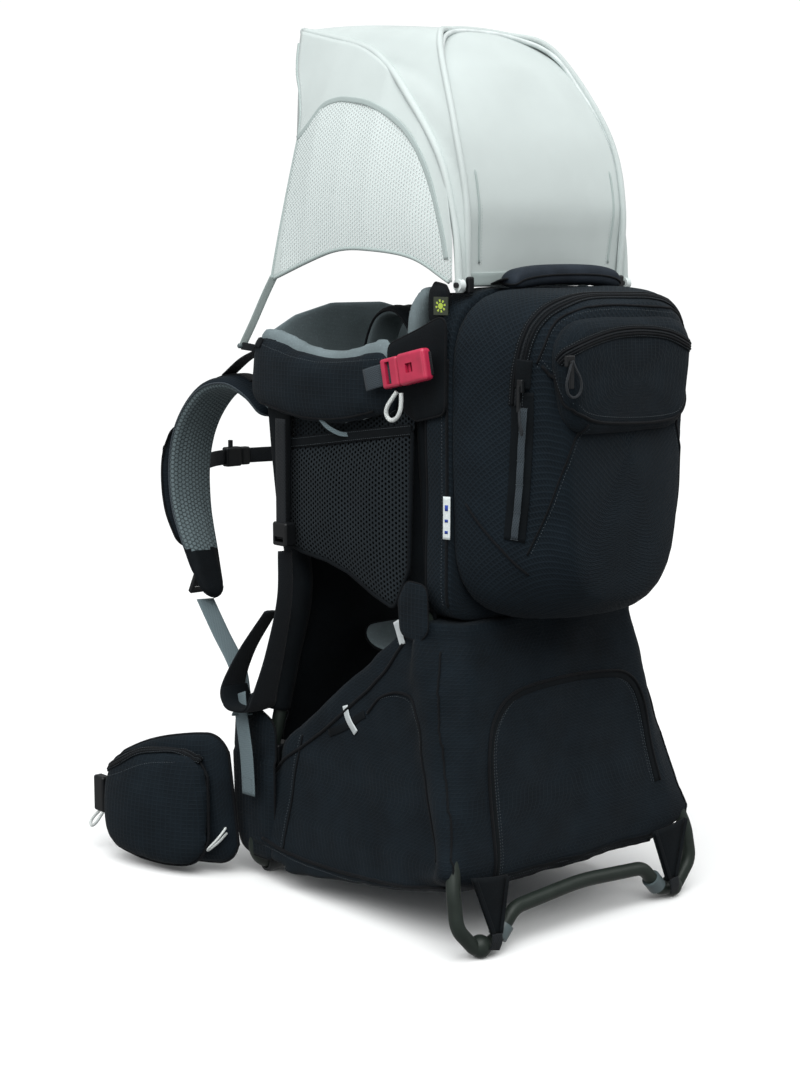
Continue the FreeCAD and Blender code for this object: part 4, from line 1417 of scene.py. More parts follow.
# hip belt
WING = [
    (-190, 207, 96, 158, 22), (-206, 256, 90, 158, 26), (-222, 312, 82, 146, 26), (-234, 362, 74, 118, 22),
    (-239, 392, 70, 92, 16)
]
POUCH = [
    (-215, 224, 84, 116, 15), (-232, 258, 82, 140, 28), (-250, 316, 78, 134, 34), (-258, 362, 72, 108, 26),
    (-258, 382, 70, 74, 12)
]
for side, mirror in SIDES:
    body = "hip_" + side
    pad = pad_grid(WING, (0, 0, 1), count=70, around=44, corner=30, power=2.4)
    groove(
        pad, [[(0, 20), (0, 180)], [(-38, 12), (-34, 170)], [(38, 12), (34, 170)]], depth=2.4, spread=4,
        faces=(1,)
    )
    if side == "right":
        pad = mirrored_pad(pad)
    obj = two_sided("hip_wing_pad_" + side, pad, M_SPACER, M_BODY, body, "pad_fabric", edge_r=2.0)
    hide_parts("hip_wing_" + side)
    pouch = pad_grid(POUCH, (0.1, 0, 1), count=70, around=48, corner=26, power=2.2, soft_edge=20)
    groove(pouch, [[(26, 0), (24, 60), (36, 110), (30, 190)]], depth=2.0, spread=2.6, faces=(-1,))
    pouch["rows"] = crease(pouch["rows"], 1.1, 30, 0.8)
    if side == "right":
        pouch = mirrored_pad(pouch)
    obj = two_sided(
        "hip_pouch_soft_" + side, pouch, M_BODY, M_BODY, body, "body_fabric", edge_r=1.6, air=4.0
    )
    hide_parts("hip_pouch_" + side)
    pouch_skin = Skin(obj)
    zip_run(
        "hip_pouch_zip_" + side,
        mirror([(-258, 372, 112), (-262, 346, 128), (-250, 312, 146), (-232, 268, 150), (-216, 236, 142)]),
        pouch_skin, body, tape=11, coil=2.0
    )
    runs = [
        pouch_skin.lay(
            smooth(
                mirror([(-262, 366, 104), (-266, 338, 116), (-254, 300, 132), (-236, 262, 138)]), 90
            )[:, :3],
            0.2
        )
    ]
    stitches("hip_pouch_thread_" + side, runs, M_THREAD, body)
    strap(
        "hip_strap_" + side, mirror([(-238, 376, 70), (-241, 390, 70), (-246.5, 404, 70)]), (0, 0, 1), 38,
        2.4, M_WEB, body, "webbing_dark", count=20
    )


# ---------------------------------------------------------------- cockpit
SIDE = [
    (-157, 199, 616, 76, 18), (-161, 150, 609, 82, 26), (-163, 90, 599, 80, 28), (-162, 30, 598, 76, 26),
    (-159, -30, 607, 72, 20), (-156, -54, 612, 68, 12)
]
LINING = [
    (-150, 196, 640, 46, 12), (-153, 150, 636, 50, 15), (-154, 90, 622, 50, 16), (-152, 30, 620, 50, 15),
    (-150, -24, 632, 48, 12), (-147, -46, 636, 44, 9)
]
for side, mirror in SIDES:
    pad = pad_grid(SIDE, (0, 0, 1), count=80, around=44, corner=20, power=2.3, soft_edge=26)
    pad["rows"] = crease(pad["rows"], 1.6, 44, 3.0)
    if side == "right":
        pad = mirrored_pad(pad)
    obj = two_sided(
        "cockpit_pad_" + side, pad, M_BODY, M_KNIT, "root", "pad_fabric", edge_r=0, air=3.0
    )
    if side == "left":
        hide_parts("cockpit_side_pads")
    pad_skin = Skin(obj)
    inner = pad_grid(LINING, (0, 0, 1), count=60, around=36, corner=18, power=2.1, soft_edge=22)
    if side == "right":
        inner = mirrored_pad(inner)
    two_sided(
        "cockpit_lining_" + side, inner, M_KNIT, M_KNIT, "root", "pad_fabric", edge_r=0, air=3.0
    )
    top = mirror(
        [
            (-162, 190, 648), (-168, 150, 642), (-171, 100, 632), (-170, 44, 629), (-166, -20, 635),
            (-160, -46, 640)
        ]
    )
    stitches(
        "cockpit_thread_" + side,
        [pad_skin.lay(smooth([np.array(q) + (0, 0, -3) for q in top], 110)[:, :3], 0.2)], M_THREAD, "root"
    )
    seam = mirror([(-170, 176, 574), (-176, 141, 569), (-178, 85, 561), (-176, 14, 564), (-170, -30, 576)])
    p, n = pad_skin.lay(smooth(seam, 70)[:, :3], 0.3, 3)
    rod("cockpit_low_seam_" + side, p, 1.3, M_PIPING, "root", "body_fabric")
    tag = smooth(mirror([(-166, 200, 650), (-170, 186, 649), (-172, 170, 647)]), 14)[:, :3]
    p, n = pad_skin.lay(tag, 1.4, 2)
    ribbon("corner_tag_" + side, p, n, 12, 1.0, M_DARK, "root", "body_fabric")
    low = smooth(mirror([(-170, 62, 566), (-168, 50, 556), (-162, 36, 549), (-156, 26, 548)]), 16)[:, :3]
    ribbon(
        "low_tab_" + side, low, np.tile(mirror((-1, 0, 0.3)), (16, 1)), 5, 1.2, M_WEB_GREY, "root",
        "webbing_grey"
    )

    # tab that carries the side buckle, with its webbing
    outline_tab = [(-38, 650), (-40, 594), (-84, 570), (-130, 580), (-131, 686), (-88, 668)]
    s = -1 if side == "left" else 1
    tab = panel(
        "side_tab_pad_" + side, outline_tab, lambda u, v, h, s=s: (s * (153.5 + h), u, v), 9, M_DARK,
        "root", "pad_fabric", radius=12, crown=2.4
    )
    if side == "left":
        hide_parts("side_tabs")
    c, q = math.cos(math.radians(-12)), math.sin(math.radians(-12))
    web = straight([(s * 172, -92 + t * c, 627 + t * q) for t in (-38, -20, -4)], 4)
    ribbon(
        "side_buckle_anchor_" + side, web, np.tile((s, 0, 0), (len(web), 1)), 25, 2.0, M_WEB, "root",
        "webbing_dark"
    )
    web = straight(
        [
            (s * 175.5, -92 + t * c, 627 + t * q) for t in (24, 38)
        ] + [(s * 179, -44, 616), (s * 180, -30, 612)],
        4
    )
    ribbon(
        "side_buckle_web_" + side, web, np.tile((s, 0, 0), (len(web), 1)), 24, 1.8, M_WEB_MID,
        "side_plug_" + side, "webbing_grey"
    )

CREST = [(-146, 562), (146, 562), (148, 648), (96, 676), (40, 690), (-40, 690), (-96, 676), (-148, 648)]
front = panel(
    "front_pad_soft", CREST, lambda u, v, h: (u, 200.5 + h + 3.0 * (u / 148) ** 2 - 1.5, v), 15, M_LINES,
    "root", "pad_fabric", radius=26, crown=2.4, edge_r=0, lining=M_KNIT
)
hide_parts("front_pad")
childback = pad_grid(
    [(0, -59, 345, 254, 18), (0, -59, 704, 254, 18)], (1, 0, 0), count=70, around=52, corner=30, power=3.2
)
groove(
    childback,
    [[(s * 52, 20), (s * 60, 340)] for s in (-1, 1)] + [[(-120, t), (120, t)] for t in (80, 170, 260)],
    depth=2.2, spread=4, faces=(1,)
)
obj = two_sided("child_back_soft", childback, M_DARK, M_DARK, "root", "pad_fabric")
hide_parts("child_back_pad")
head = pad_grid(
    [(0, -38, 560, 150, 16), (0, -36, 630, 176, 22), (0, -40, 704, 150, 14)], (1, 0, 0), count=60,
    around=48, corner=36, power=2.2, soft_edge=20
)
groove(head, [[(-50, 30), (-56, 110)], [(50, 30), (56, 110)]], depth=3, spread=4, faces=(1,))
obj = two_sided("head_pad_soft", head, M_KNIT, M_DARK, "root", "pad_fabric")
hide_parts("head_pad")
CHILD = [
    (-64, -20, 560, 44, 11), (-64, -8, 640, 46, 12), (-64, 24, 682, 46, 12), (-64, 62, 676, 46, 12),
    (-62, 86, 630, 44, 11), (-56, 92, 560, 40, 10), (-46, 90, 500, 34, 9)
]
for side in ("left", "right"):
    pad = pad_grid(CHILD, (1, 0, 0), count=90, around=32, corner=10, power=2.2)
    groove(pad, [[(0, 10), (0, pad["length"] - 12)]], depth=1.2, spread=3)
    if side == "right":
        pad = mirrored_pad(pad)
    obj = two_sided("child_strap_" + side, pad, M_KNIT, M_DARK, "root", "pad_fabric")
    if side == "left":
        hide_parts("child_shoulder_pads")
saddle = pad_grid(
    [
        (0, -40, 318, 150, 16), (0, 10, 292, 124, 18), (0, 70, 276, 92, 18), (0, 120, 278, 84, 16),
        (0, 142, 300, 92, 12)
    ],
    (1, 0, 0), count=60, around=44, corner=24, power=2.3
)
groove(saddle, [[(-20, 20), (-14, 180)], [(20, 20), (14, 180)]], depth=1.8, spread=3.5)
obj = two_sided("seat_saddle_soft", saddle, M_DARK, M_KNIT, "seat", "pad_fabric")
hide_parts("seat_saddle")

# inner walls of the seat, behind the side pockets
for side, s in (("left", -1), ("right", 1)):
    wall = [(-84, 592), (144, 566), (144, 420), (60, 396), (-20, 366), (-84, 356)]
    panel(
        "seat_wall_" + side, wall, lambda u, v, h, s=s: (s * (136 + h), u, v), 5, M_DARK, "root",
        "pad_fabric", radius=16, edge_r=0
    )


# cloth from the frame's upright to the side pocket
for side, s in (("left", -1), ("right", 1)):
    web_corners = [(130, 590), (176, 590), (168, 520), (154, 426), (134, 426)]
    panel(
        "side_web_" + side, web_corners, lambda u, v, h, s=s: (s * (157 + h), u, v), 4.5, M_DARK, "root",
        "body_fabric", radius=8, edge_r=0
    )


# mesh side pockets with bound edges
MESH = [
    (-77, 562), (143, 530), (146, 478), (142, 412), (116, 405), (70, 400), (32, 391), (-13, 371),
    (-47, 360), (-71, 405)
]
for side, s in (("left", -1), ("right", 1)):
    flat = outline([(u, v, 9) for u, v in MESH], 150)
    middle = flat.mean(axis=0)
    rows = []
    for t in np.linspace(0, 1, 14):
        uv = middle + (flat - middle) * max(t, 0.01)
        sag = 9 * (1 - t**2.2)
        wave = 1.6 * np.sin(uv[:, 0] / 13.0) * np.sin(uv[:, 1] / 29.0 + 1) * (1 - t)
        rows.append(np.column_stack([s * (152.5 + sag + wave), uv]))
    inner = [r - np.array([s * 0.9, 0, 0]) for r in rows[::-1]]
    net = grid(
        "mesh_pocket_net_" + side, rows + inner, M_POCKET, "root", "pocket_mesh", wrap=True, caps=True
    )
    box_uv(net)
    edge = smooth(np.column_stack([np.full(len(flat), s * 152.5), flat]), 160, closed=True)[:, :3]
    rim_band = rod(
        "mesh_pocket_binding_" + side, edge, 2.3, M_DARK, "root", "body_fabric", closed=True, hint=(1, 0, 0)
    )
    p = smooth(
        [(s * 153.5, -76, 560), (s * 156, 20, 547), (s * 156, 90, 537), (s * 153.5, 142, 530)], 60
    )[:, :3]
    hem = ribbon(
        "mesh_pocket_hem_" + side, p, np.tile((s, 0, 0), (60, 1)), 13, 2.2, M_DARK, "root", "body_fabric",
        crown=0.4
    )
    run = stitches(
        "mesh_pocket_thread_" + side,
        [(p + np.array([s * 1.7, 0, d]), np.tile((s, 0, 0), (60, 1))) for d in (-4.5, 4.5)], M_THREAD,
        "root"
    )
    upper = [(-78, 580), (142, 580), (142, 528), (-77, 558)]
    high = outline([(u, v, 4) for u, v in upper], 80)
    centre = high.mean(axis=0)
    sheet_rows = [
        np.column_stack(
            [np.full(80, s * 150.0), centre + (high - centre) * max(t, 0.01)]
        ) for t in np.linspace(0, 1, 8)
    ]
    layer = grid(
        "mesh_pocket_upper_" + side, sheet_rows + [r - np.array([s * 0.9, 0, 0]) for r in sheet_rows[::-1]],
        M_POCKET, "root", "pocket_mesh", wrap=True, caps=True
    )
    box_uv(layer)
    trim = join("mesh_pocket_trim_" + side, rim_band, hem, run, layer)
    if side == "left":
        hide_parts("mesh_pockets")

# stirrups
HANGER = [
    (-168, 130, 406, 20), (-170, 129, 350, 22), (-178, 138, 284, 28), (-184, 150, 236, 36),
    (-184, 160, 216, 42),
    (-184, 182, 211, 44), (-184, 203, 214, 42), (-184, 213, 234, 36), (-180, 190, 280, 26),
    (-174, 150, 332, 20),
]
for side in ("left", "right"):
    s = smooth(HANGER, 120)
    path = s[:, :3] if side == "left" else flip(s[:, :3])
    _, _, normal = frames_along(path, (1, 0, 0))
    thick = 2.6
    obj = ribbon(
        "stirrup_strap_" + side, path, normal, s[:, 3], thick, M_WEB, "stirrup_" + side, "webbing_dark",
        crown=1.2
    )
    foot = smooth(HANGER[3:8], 50)
    fp = foot[:, :3] if side == "left" else flip(foot[:, :3])
    _, _, fn = frames_along(fp, (1, 0, 0))
    pad = ribbon(
        "stirrup_foot_" + side, fp - fn * 1.6, fn, foot[:, 3] + 2, 4.6, M_DARK, "stirrup_" + side,
        "webbing_dark", crown=1.5
    )
    obj = join("stirrup_soft_" + side, obj, pad)
    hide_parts("stirrup_" + side)
    tail = straight([((-172 if side == "left" else 172), 131, z) for z in (560, 500, 446, 420)], 6)
    ribbon(
        "stirrup_hanger_" + side, tail, np.tile(((-1 if side == "left" else 1), 0, 0), (len(tail), 1)), 18,
        1.8, M_WEB, "root", "webbing_dark"
    )

# grab handle
GRIP = [
    (-81, -148, 716, 29, 17), (-68, -150, 721.5, 30, 21), (-40, -153, 725, 30, 22), (0, -154, 726, 30, 22),
    (40, -153, 725, 30, 22), (68, -150, 721.5, 30, 21), (81, -148, 716, 29, 17)
]
handle = pad_grid(GRIP, (0, 1, 0), count=80, around=32, corner=6, power=2.8)
obj = two_sided(
    "grab_handle_soft", handle, M_HANDLE, M_HANDLE, "handle", "pad_fabric", edge_r=1.2
)
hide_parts("grab_handle")
for side, s in (("left", -1), ("right", 1)):
    web = smooth([(s * 79, -150, 722), (s * 79, -140, 720), (s * 79, -128, 716)], 14)[:, :3]
    ribbon(
        "handle_tab_" + side, web, np.tile((0, 0.2, 1), (14, 1)), 15, 1.8, M_WEB, "handle", "webbing_dark"
    )

# grey pad behind the child's head, and the dark sleeve with a plain sun label
for side, s in (("left", -1), ("right", 1)):
    wing = pad_grid(
        [(s * 117, -50, 630, 34, 16), (s * 119, -58, 684, 38, 20), (s * 114, -72, 713, 30, 14)], (1, 0, 0),
        count=40, around=28, corner=10, power=2.1
    )
    two_sided("head_wing_" + side, wing, M_KNIT, M_KNIT, "root", "pad_fabric", edge_r=0, air=3.0)
sleeve = pad_grid(
    [(-131, -92, 672, 30, 12), (-133, -98, 700, 40, 14), (-133, -100, 716, 36, 10)], (0.3, 1, 0), count=30,
    around=28, corner=8, power=2.2
)
two_sided("shade_sleeve_left", sleeve, M_DARK, M_DARK, "root", "body_fabric")
sleeve = mirrored_pad(sleeve)
two_sided("shade_sleeve_right", sleeve, M_DARK, M_DARK, "root", "body_fabric")
quad = [(-149.6, -107, 684), (-149.6, -129, 684), (-149.6, -129, 703), (-149.6, -107, 703)]
under = [(x + 1.0, y, z) for x, y, z in quad]
LABEL_FACES = [(0, 1, 2, 3), (7, 6, 5, 4), (0, 4, 5, 1), (1, 5, 6, 2), (2, 6, 7, 3), (3, 7, 4, 0)]
LABEL_UV = [(0, 0), (1, 0), (1, 1), (0, 1)] * 2
add("sun_label", quad + under, LABEL_FACES, M_SUN, "root", "body_fabric", uv=LABEL_UV, soft=False)


# fabric sleeves over the frame, and a cover over each kick-stand pivot
for side, s in (("left", -1), ("right", 1)):
    mirror = same if side == "left" else flip
    upright = smooth(
        mirror(
            [
                (-133, 184, 594), (-133, 172, 520), (-133, 158, 430), (-133, 147, 352), (-143, 160, 270),
                (-150, 170, 210)
            ]
        ),
        80
    )[:, :3]
    a = rod("frame_sleeve_a_" + side, upright, 15.5, M_DARK, "root", "body_fabric", sides=18, flat=0.86)
    slope = straight(mirror([(-125, -76, 346), (-145, 150, 163)]), 6)
    b = rod("frame_sleeve_b_" + side, slope, 11.5, M_BODY, "root", "body_fabric", sides=18)
    post = straight(mirror([(-139, -79, 634), (-131.5, -81, 500), (-125, -83, 366)]), 6)
    c = rod("frame_sleeve_c_" + side, post, 10.5, M_DARK, "root", "body_fabric", sides=18)
    join("frame_sleeves_" + side, a, b, c)
    cover_corners = [(-108, 394), (-110, 344), (-96, 330), (-64, 334), (-60, 372), (-74, 396)]
    panel(
        "pivot_cover_" + side, cover_corners, lambda u, v, h, s=s: (s * (158.5 + h), u, v), 4.5, M_BODY,
        "root", "body_fabric", radius=14, edge_r=0.8
    )


# ---------------------------------------------------------------- sunshade
REAR_HOOP = [(-117, -125, 710), (-121, -127, 800), (-118, -104, 884), (-88, -48, 976), (-40, -16, 994)]
FRONT_LEG = [
    (-129, -125, 707), (-129, -118, 776), (-129, -92, 852), (-120, -24, 926), (-107, 21, 957),
    (-97, 72, 979), (-70, 210, 1009)
]
rear_line = REAR_HOOP + [tuple(p) for p in flip(REAR_HOOP[::-1])]
rear_arc = smooth(rear_line, 121)[:, :3]
leg = smooth(FRONT_LEG, 54)[:, :3]
brim = straight([(-70, 210, 1009), (70, 210, 1009)], 11)[1:-1]
front_arc = np.vstack([leg, brim, flip(leg[::-1])])
front_arc = front_arc[np.linspace(0, len(front_arc) - 1, 121).astype(int)]


def double(rows, thick):
    """Both faces of a thin cloth, closed round its edges."""
    rows = np.array(rows, float)
    normal = unit(np.cross(np.gradient(rows, axis=0), np.gradient(rows, axis=1)))
    return np.concatenate([rows, (rows - normal * thick)[:, ::-1]], axis=1)


def cloth(name, rows, mat, body, slot, thick=0.9):
    return grid(name, double(rows, thick), mat, body, slot, wrap=True, caps=True)


# D panel inside the rear hoop
profile = np.array(
    [
        (-121, 713), (-123, 762), (-125, 800), (-116, 846), (-102, 884), (-76, 930), (-48, 964), (-24, 986),
        (-14, 995)
    ],
    float
)
half_at = [
    (713, 116), (762, 119), (800, 121), (846, 120.5), (884, 117.5), (930, 106), (964, 92), (986, 62),
    (995, 34)
]
prof = smooth(np.column_stack([np.zeros(9), profile]), 56)
rows = []
for _, y, z in prof:
    half = np.interp(z, [a for a, _ in half_at], [b for _, b in half_at]) - 1
    t = np.linspace(-1, 1, 49)
    k = np.clip((z - SHADE_FOOT_Z) / 60, 0, 1) * np.clip((SHADE_TOP_Z - z) / 50, 0, 1)
    out = 9 * (1 - t**2) * k
    pucker = 0.5 * np.sin(t * 21 + z / 17) * k * np.abs(t) ** 3
    rows.append(
        np.column_stack(
            [t * half, np.full(49, y) - (out + pucker) * 0.87, np.full(49, z) + (out + pucker) * 0.5]
        )
    )
dee = cloth("shade_back_cloth", rows, M_SHADE, "root", "shade_cloth")
dee_skin = Skin(dee)
seam = [
    (-100, -124, 738), (-104, -128, 800), (-101, -108, 872), (-78, -62, 942), (-36, -30, 972), (0, -28, 978)
]
seam = seam + [tuple(q) for q in flip(seam[:-1][::-1])]
p, n = dee_skin.lay(smooth(seam, 150)[:, :3], 0.5, 3)
piping = rod("shade_back_piping", p, 1.2, M_SHADE_EDGE, "root", "shade_cloth")
thread = stitches(
    "shade_back_thread",
    [dee_skin.lay(smooth([(x * 0.96, y, z - 2) for x, y, z in seam], 200)[:, :3], 0.1)], M_SHADE_EDGE,
    "root"
)
foot, fn = dee_skin.lay(
    smooth(
        [(-112, -124, 721), (-60, -131, 721), (0, -132, 721), (60, -131, 721), (112, -124, 721)], 60
    )[:, :3],
    0.6, 3
)
band = ribbon("shade_back_foot", foot, fn, 14, 1.4, M_SHADE_EDGE, "root", "shade_cloth")
sleeve = rod("shade_rear_sleeve", rear_arc, 3.6, M_SHADE, "root", "shade_cloth", sides=12)
trim = join("shade_back_trim", piping, thread, band, sleeve)
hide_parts("shade_rear_panel")

# crown cloth from the rear hoop to the brim
rows = []
for t in np.linspace(0, 1, 44):
    line = rear_arc + (front_arc - rear_arc) * t
    s = np.linspace(-1, 1, 121)
    lift = 5.0 * math.sin(math.pi * t) * np.clip(1 - np.abs(s) ** 3, 0, 1)
    ripple = 0.5 * np.sin(s * 30 + t * 5) * math.sin(math.pi * t)
    line = line + np.column_stack([np.zeros(121), np.zeros(121), lift + ripple])
    line[:, 2] = np.minimum(line[:, 2], HIGHEST_CLOTH_Z)
    rows.append(line)
rows = np.array(rows)
crown = cloth("shade_crown", rows, M_SHADE, None, "shade_cloth")
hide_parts("shade_top")
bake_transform(crown)
front_sleeve = rod("shade_front_sleeve", leg, 4.2, M_SHADE, "shade_front", "shade_cloth", sides=12)
right_sleeve = rod(
    "shade_front_sleeve_right", flip(leg), 4.2, M_SHADE, "shade_front", "shade_cloth", sides=12
)
bar = rod(
    "shade_brim_sleeve", straight([(-73, 210.5, 1008.2), (73, 210.5, 1008.2)], 6), 4.4, M_SHADE,
    "shade_front", "shade_cloth", sides=12
)
join("shade_sleeves", front_sleeve, right_sleeve, bar)


# side panels: cloth above the arched seam, netting below it
SECTIONS = [
    (-114, 134, 722, 135, 760, 134, 800), (-64, 140, 722, 142, 820, 129, 880),
    (2, 145, 722, 147, 850, 118, 941),
    (54, 147, 722, 145, 860, 106, 969), (108, 149, 722, 140, 860, 95, 987),
    (160, 151, 716, 128, 862, 85, 998), (214, 153, 712, 120, 870, 74, 1010),
]
SEC = np.array(SECTIONS, float)


def side_x(y, z):
    """How far out the side cloth stands at a place."""
    at = [np.interp(y, SEC[:, 0], SEC[:, c]) for c in range(1, 7)]
    x = np.array([at[0], at[2], at[4]])
    h = np.array([at[1], at[3], at[5]])
    c = np.polyfit(h, x, 2)
    return float(np.polyval(c, z))


BOTTOM = smooth(
    [(0, -114, 718), (0, -64, 744), (0, 2, 753), (0, 54, 752), (0, 108, 739), (0, 172, 719)], 70
)[:, 1:]
FRONT = smooth(
    [
        (0, 172, 719), (0, 163, 781), (0, 155, 850), (0, 155, 894), (0, 174, 934), (0, 195, 964),
        (0, 211, 1008)
    ],
    60
)[:, 1:]
HOOP = smooth(
    [
        (0, -119, 718), (0, -118, 776), (0, -92, 852), (0, -24, 926), (0, 21, 957), (0, 72, 979),
        (0, 140, 994), (0, 210, 1009)
    ],
    70
)[:, 1:]
ARCH = np.array(
    [
        (154, 880), (140, 888), (129, 896), (105, 914), (78, 919), (51, 917), (19, 911), (-21, 894),
        (-56, 868), (-84, 828), (-104, 778), (-112, 742)
    ],
    float
)


def above_arch(y, z):
    return z > np.interp(y, ARCH[::-1, 0], ARCH[::-1, 1]) or y > 156


for side, mirror in SIDES:
    rows = []
    for i in range(70):
        s = i / 69
        row = []
        for j in range(60):
            t = j / 59
            base = (1 - t) * BOTTOM[i] + t * HOOP[i]
            bend = FRONT[j] - ((1 - t) * FRONT[0] + t * FRONT[-1])
            y, z = base + bend * s**2.2
            row.append((-side_x(y, z) - 1.2 * math.sin(math.pi * t) * math.sin(s * 9), y, z))
        rows.append(row)
    rows = mirror(rows)
    wall = cloth("shade_side_" + side, rows, M_SHADE, "shade_front", "shade_mesh", thick=0.8)
    wall.data.materials.append(M_NET)
    for poly in wall.data.polygons:
        c = np.array(poly.center) * 1000 - SHIFT
        poly.material_index = 0 if above_arch(c[1], c[2]) else 1
    box_uv(wall)
    parts = []
    p = smooth(mirror([(-side_x(y, z) - 1.6, y, z) for y, z in ARCH]), 130)[:, :3]
    parts.append(
        ribbon(
            "arch_" + side, p, np.tile(mirror((-1, 0, 0.2)), (130, 1)), 6, 1.6, M_SHADE_EDGE, "shade_front",
            "shade_cloth"
        )
    )
    for tag, line in (("bottom", BOTTOM), ("front", FRONT)):
        edge = smooth(mirror([(-side_x(y, z), y, z) for y, z in line[::4]]), 110)[:, :3]
        parts.append(
            rod("shade_%s_edge_%s" % (tag, side), edge, 2.2, M_SHADE_EDGE, "shade_front", "shade_cloth")
        )
    trim = join("shade_side_trim_" + side, *parts)
    if side == "left":
        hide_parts("shade_side_mesh")
    pull = smooth(
        mirror(
            [(-151.5, 168, 722), (-152.5, 184, 700), (-153.5, 206, 668), (-154, 224, 644), (-154, 228, 637)]
        ),
        40
    )[:, :3]
    _, _, normal = frames_along(pull, mirror((0.75, -0.66, 0)))
    a = ribbon("shade_tether_web_" + side, pull, normal, 9, 1.5, M_SHADE_EDGE, "shade_front", "shade_mesh")
    ball = rod(
        "shade_toggle_" + side,
        mirror(
            [(-160, 228, 640), (-158.5, 228, 640), (-154, 228, 640), (-149.5, 228, 640), (-148, 228, 640)]
        ),
        [1.6, 3.0, 3.3, 3.0, 1.6], M_GREY, "shade_front", "buckle_grey", sides=14
    )
    obj = join("shade_tether_" + side, a, ball)
    anchor = straight(mirror([(-148, 203, 637), (-153.5, 214, 639), (-155.5, 227, 640)]), 4)
    ribbon(
        "tether_anchor_" + side, anchor, np.tile(mirror((-0.9, 0.4, 0)), (len(anchor), 1)), 9, 1.4, M_WEB,
        "root", "webbing_dark"
    )
    if side == "left":
        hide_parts("shade_tethers")


LOOPS = {
    "side_buckle": (
        [
            (-175, -77, 602), (-177, -71, 594), (-179, -64, 584), (-178, -63, 575), (-177, -71, 570),
            (-177, -82, 576), (-176, -86, 588), (-175, -84, 601)
        ],
        2.4, M_CORD, "root"
    ),
    "main_zip": (
        [
            (-129.4, -217, 596), (-131, -218, 588), (-133, -221, 576), (-132, -224, 567), (-131, -222, 562),
            (-130, -219, 567), (-130, -217, 578), (-129.4, -216, 594)
        ],
        1.3, M_CORD_DARK, "main_zip"
    ),
    "pocket_zip": (
        [
            (-108, -270, 640), (-113, -272, 630), (-118, -272, 618), (-114, -271, 606), (-104, -271, 602),
            (-96, -272, 608), (-95, -272, 620), (-104, -272, 632), (-107, -270, 641)
        ],
        1.4, M_CORD_DARK, "pocket_zip"
    ),
    "hip_low": (
        [
            (-203, 206, 62), (-211, 202, 58), (-219, 206, 48), (-222, 216, 38), (-218, 224, 32),
            (-211, 222, 36), (-206, 212, 46), (-203, 204, 56)
        ],
        1.5, M_CORD, "hip_left"
    ),
    "hip_front": (
        [
            (-247, 404, 60), (-248, 414, 48), (-250, 426, 38), (-254, 430, 30), (-258, 422, 26),
            (-257, 412, 32), (-252, 406, 44), (-247, 402, 54)
        ],
        2.0, M_CORD, "hip_left"
    ),
}
for key, (points, radius, mat, body) in LOOPS.items():
    cord_loop("loop_" + key, points, radius, mat, body)
    if body == "hip_left" or key == "side_buckle":
        points = flip(points)
        cord_loop(
            "loop_" + key + "_right", points, radius, mat, body.replace("left", "right"),
        )


# ---------------------------------------------------------------- floor, light and camera
def plane_piece(name, size, z, mat):
    mesh = bpy.data.meshes.new(name)
    mesh.from_pydata(
        [(-size, -size, z), (size, -size, z), (size, size, z), (-size, size, z)], [], [(0, 1, 2, 3)]
    )
    mesh.materials.append(mat)
    obj = bpy.data.objects.new(name, mesh)
    scene.collection.objects.link(obj)
    return obj


def floor_material():
    n = Nodes("floor_white")
    haze = n.noise(n.solid(), 3, 2)
    return n.surface(
        n.mix(haze, (0.93, 0.945, 0.945, 1), (0.95, 0.965, 0.965, 1)), n.ramp(haze, 0, 1, 0.5, 0.6)
    )


floor = plane_piece("floor", 40, -0.0006, floor_material())
floor.visible_diffuse = floor.visible_glossy = False


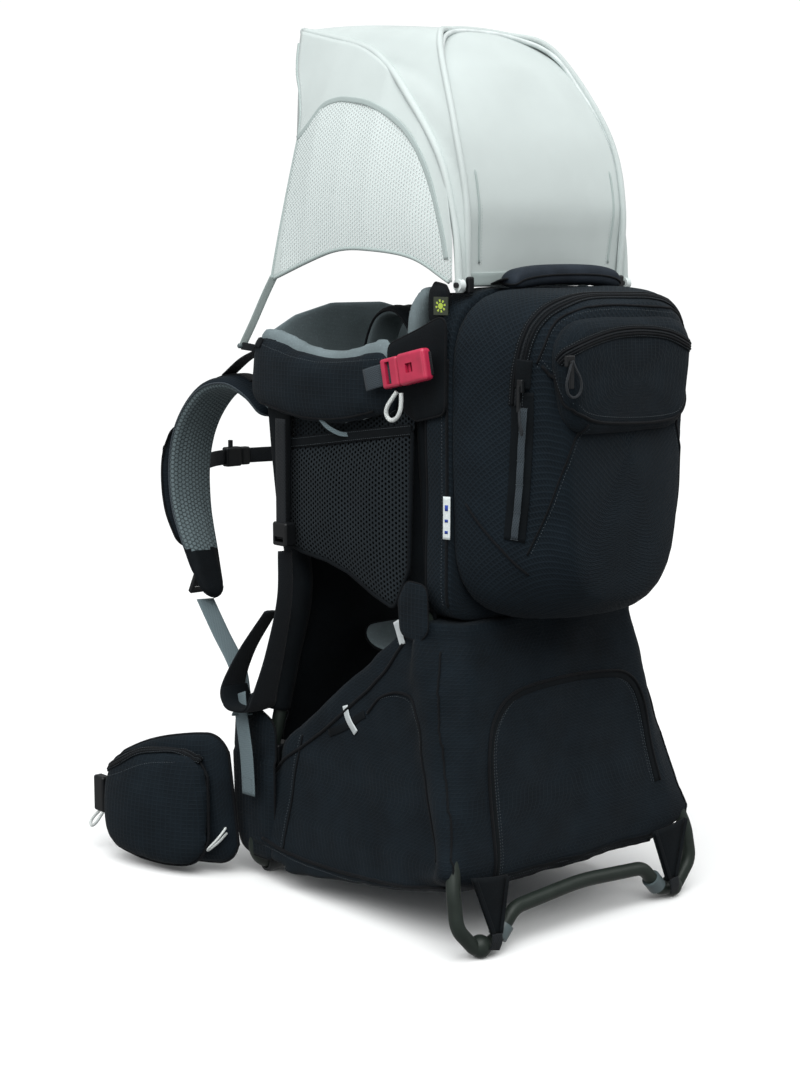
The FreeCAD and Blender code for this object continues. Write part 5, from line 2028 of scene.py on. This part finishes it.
def area_light(name, at, aim, size, power, colour=(1, 1, 1)):
    data = bpy.data.lights.new(name, "AREA")
    data.shape = "RECTANGLE"
    data.size, data.size_y = size
    data.energy = power
    data.color = colour
    lamp = bpy.data.objects.new(name, data)
    scene.collection.objects.link(lamp)
    lamp.location = at
    lamp.rotation_mode = "QUATERNION"
    lamp.rotation_quaternion = (Vector(aim) - Vector(at)).to_track_quat("-Z", "Y")


world = bpy.data.worlds.new("studio")
scene.world = world
world.use_nodes = True
world.node_tree.nodes["Background"].inputs["Color"].default_value = (1.0, 1.0, 1.0, 1)
seen = world.node_tree.nodes.new("ShaderNodeLightPath")
level = world.node_tree.nodes.new("ShaderNodeMapRange")
level.inputs["To Min"].default_value = WORLD_LIGHT
level.inputs["To Max"].default_value = BACKDROP_LIGHT
world.node_tree.links.new(seen.outputs["Is Camera Ray"], level.inputs["Value"])
world.node_tree.links.new(level.outputs[0], world.node_tree.nodes["Background"].inputs["Strength"])
overhead = bpy.data.lights.new("overhead", "SUN")
overhead.energy = SUN_POWER
overhead.angle = math.radians(SUN_SOFTNESS)
lamp = bpy.data.objects.new("overhead", overhead)
scene.collection.objects.link(lamp)
lamp.rotation_mode = "QUATERNION"
lamp.rotation_quaternion = Vector((0.42, 0.35, -1)).to_track_quat("-Z", "Y")
area_light("key", (-1.2, -1.7, 2.2), (0, 0, 0.5), (1.5, 1.5), 16, (1, 0.99, 0.97))
area_light("front_left", (-2.4, 0.7, 1.5), (0, 0, 0.5), (1.2, 2.0), 14)
area_light("rim_right", (1.9, -1.2, 1.7), (0, 0, 0.55), (0.9, 1.8), 12)
scene.view_settings.view_transform = "Standard"

lens = bpy.data.cameras.new("camera")
lens.lens = CAMERA_LENS
lens.sensor_width = SENSOR_WIDTH
lens.clip_start, lens.clip_end = 0.05, 200
camera = bpy.data.objects.new("camera", lens)
scene.collection.objects.link(camera)
camera.location = CAMERA_AT
turn, tilt = math.radians(CAMERA_TURN), math.radians(CAMERA_TILT)
look = Vector((-math.sin(turn) * math.cos(tilt), math.cos(turn) * math.cos(tilt), -math.sin(tilt)))
camera.rotation_mode = "QUATERNION"
camera.rotation_quaternion = look.to_track_quat("-Z", "Y")
scene.camera = camera
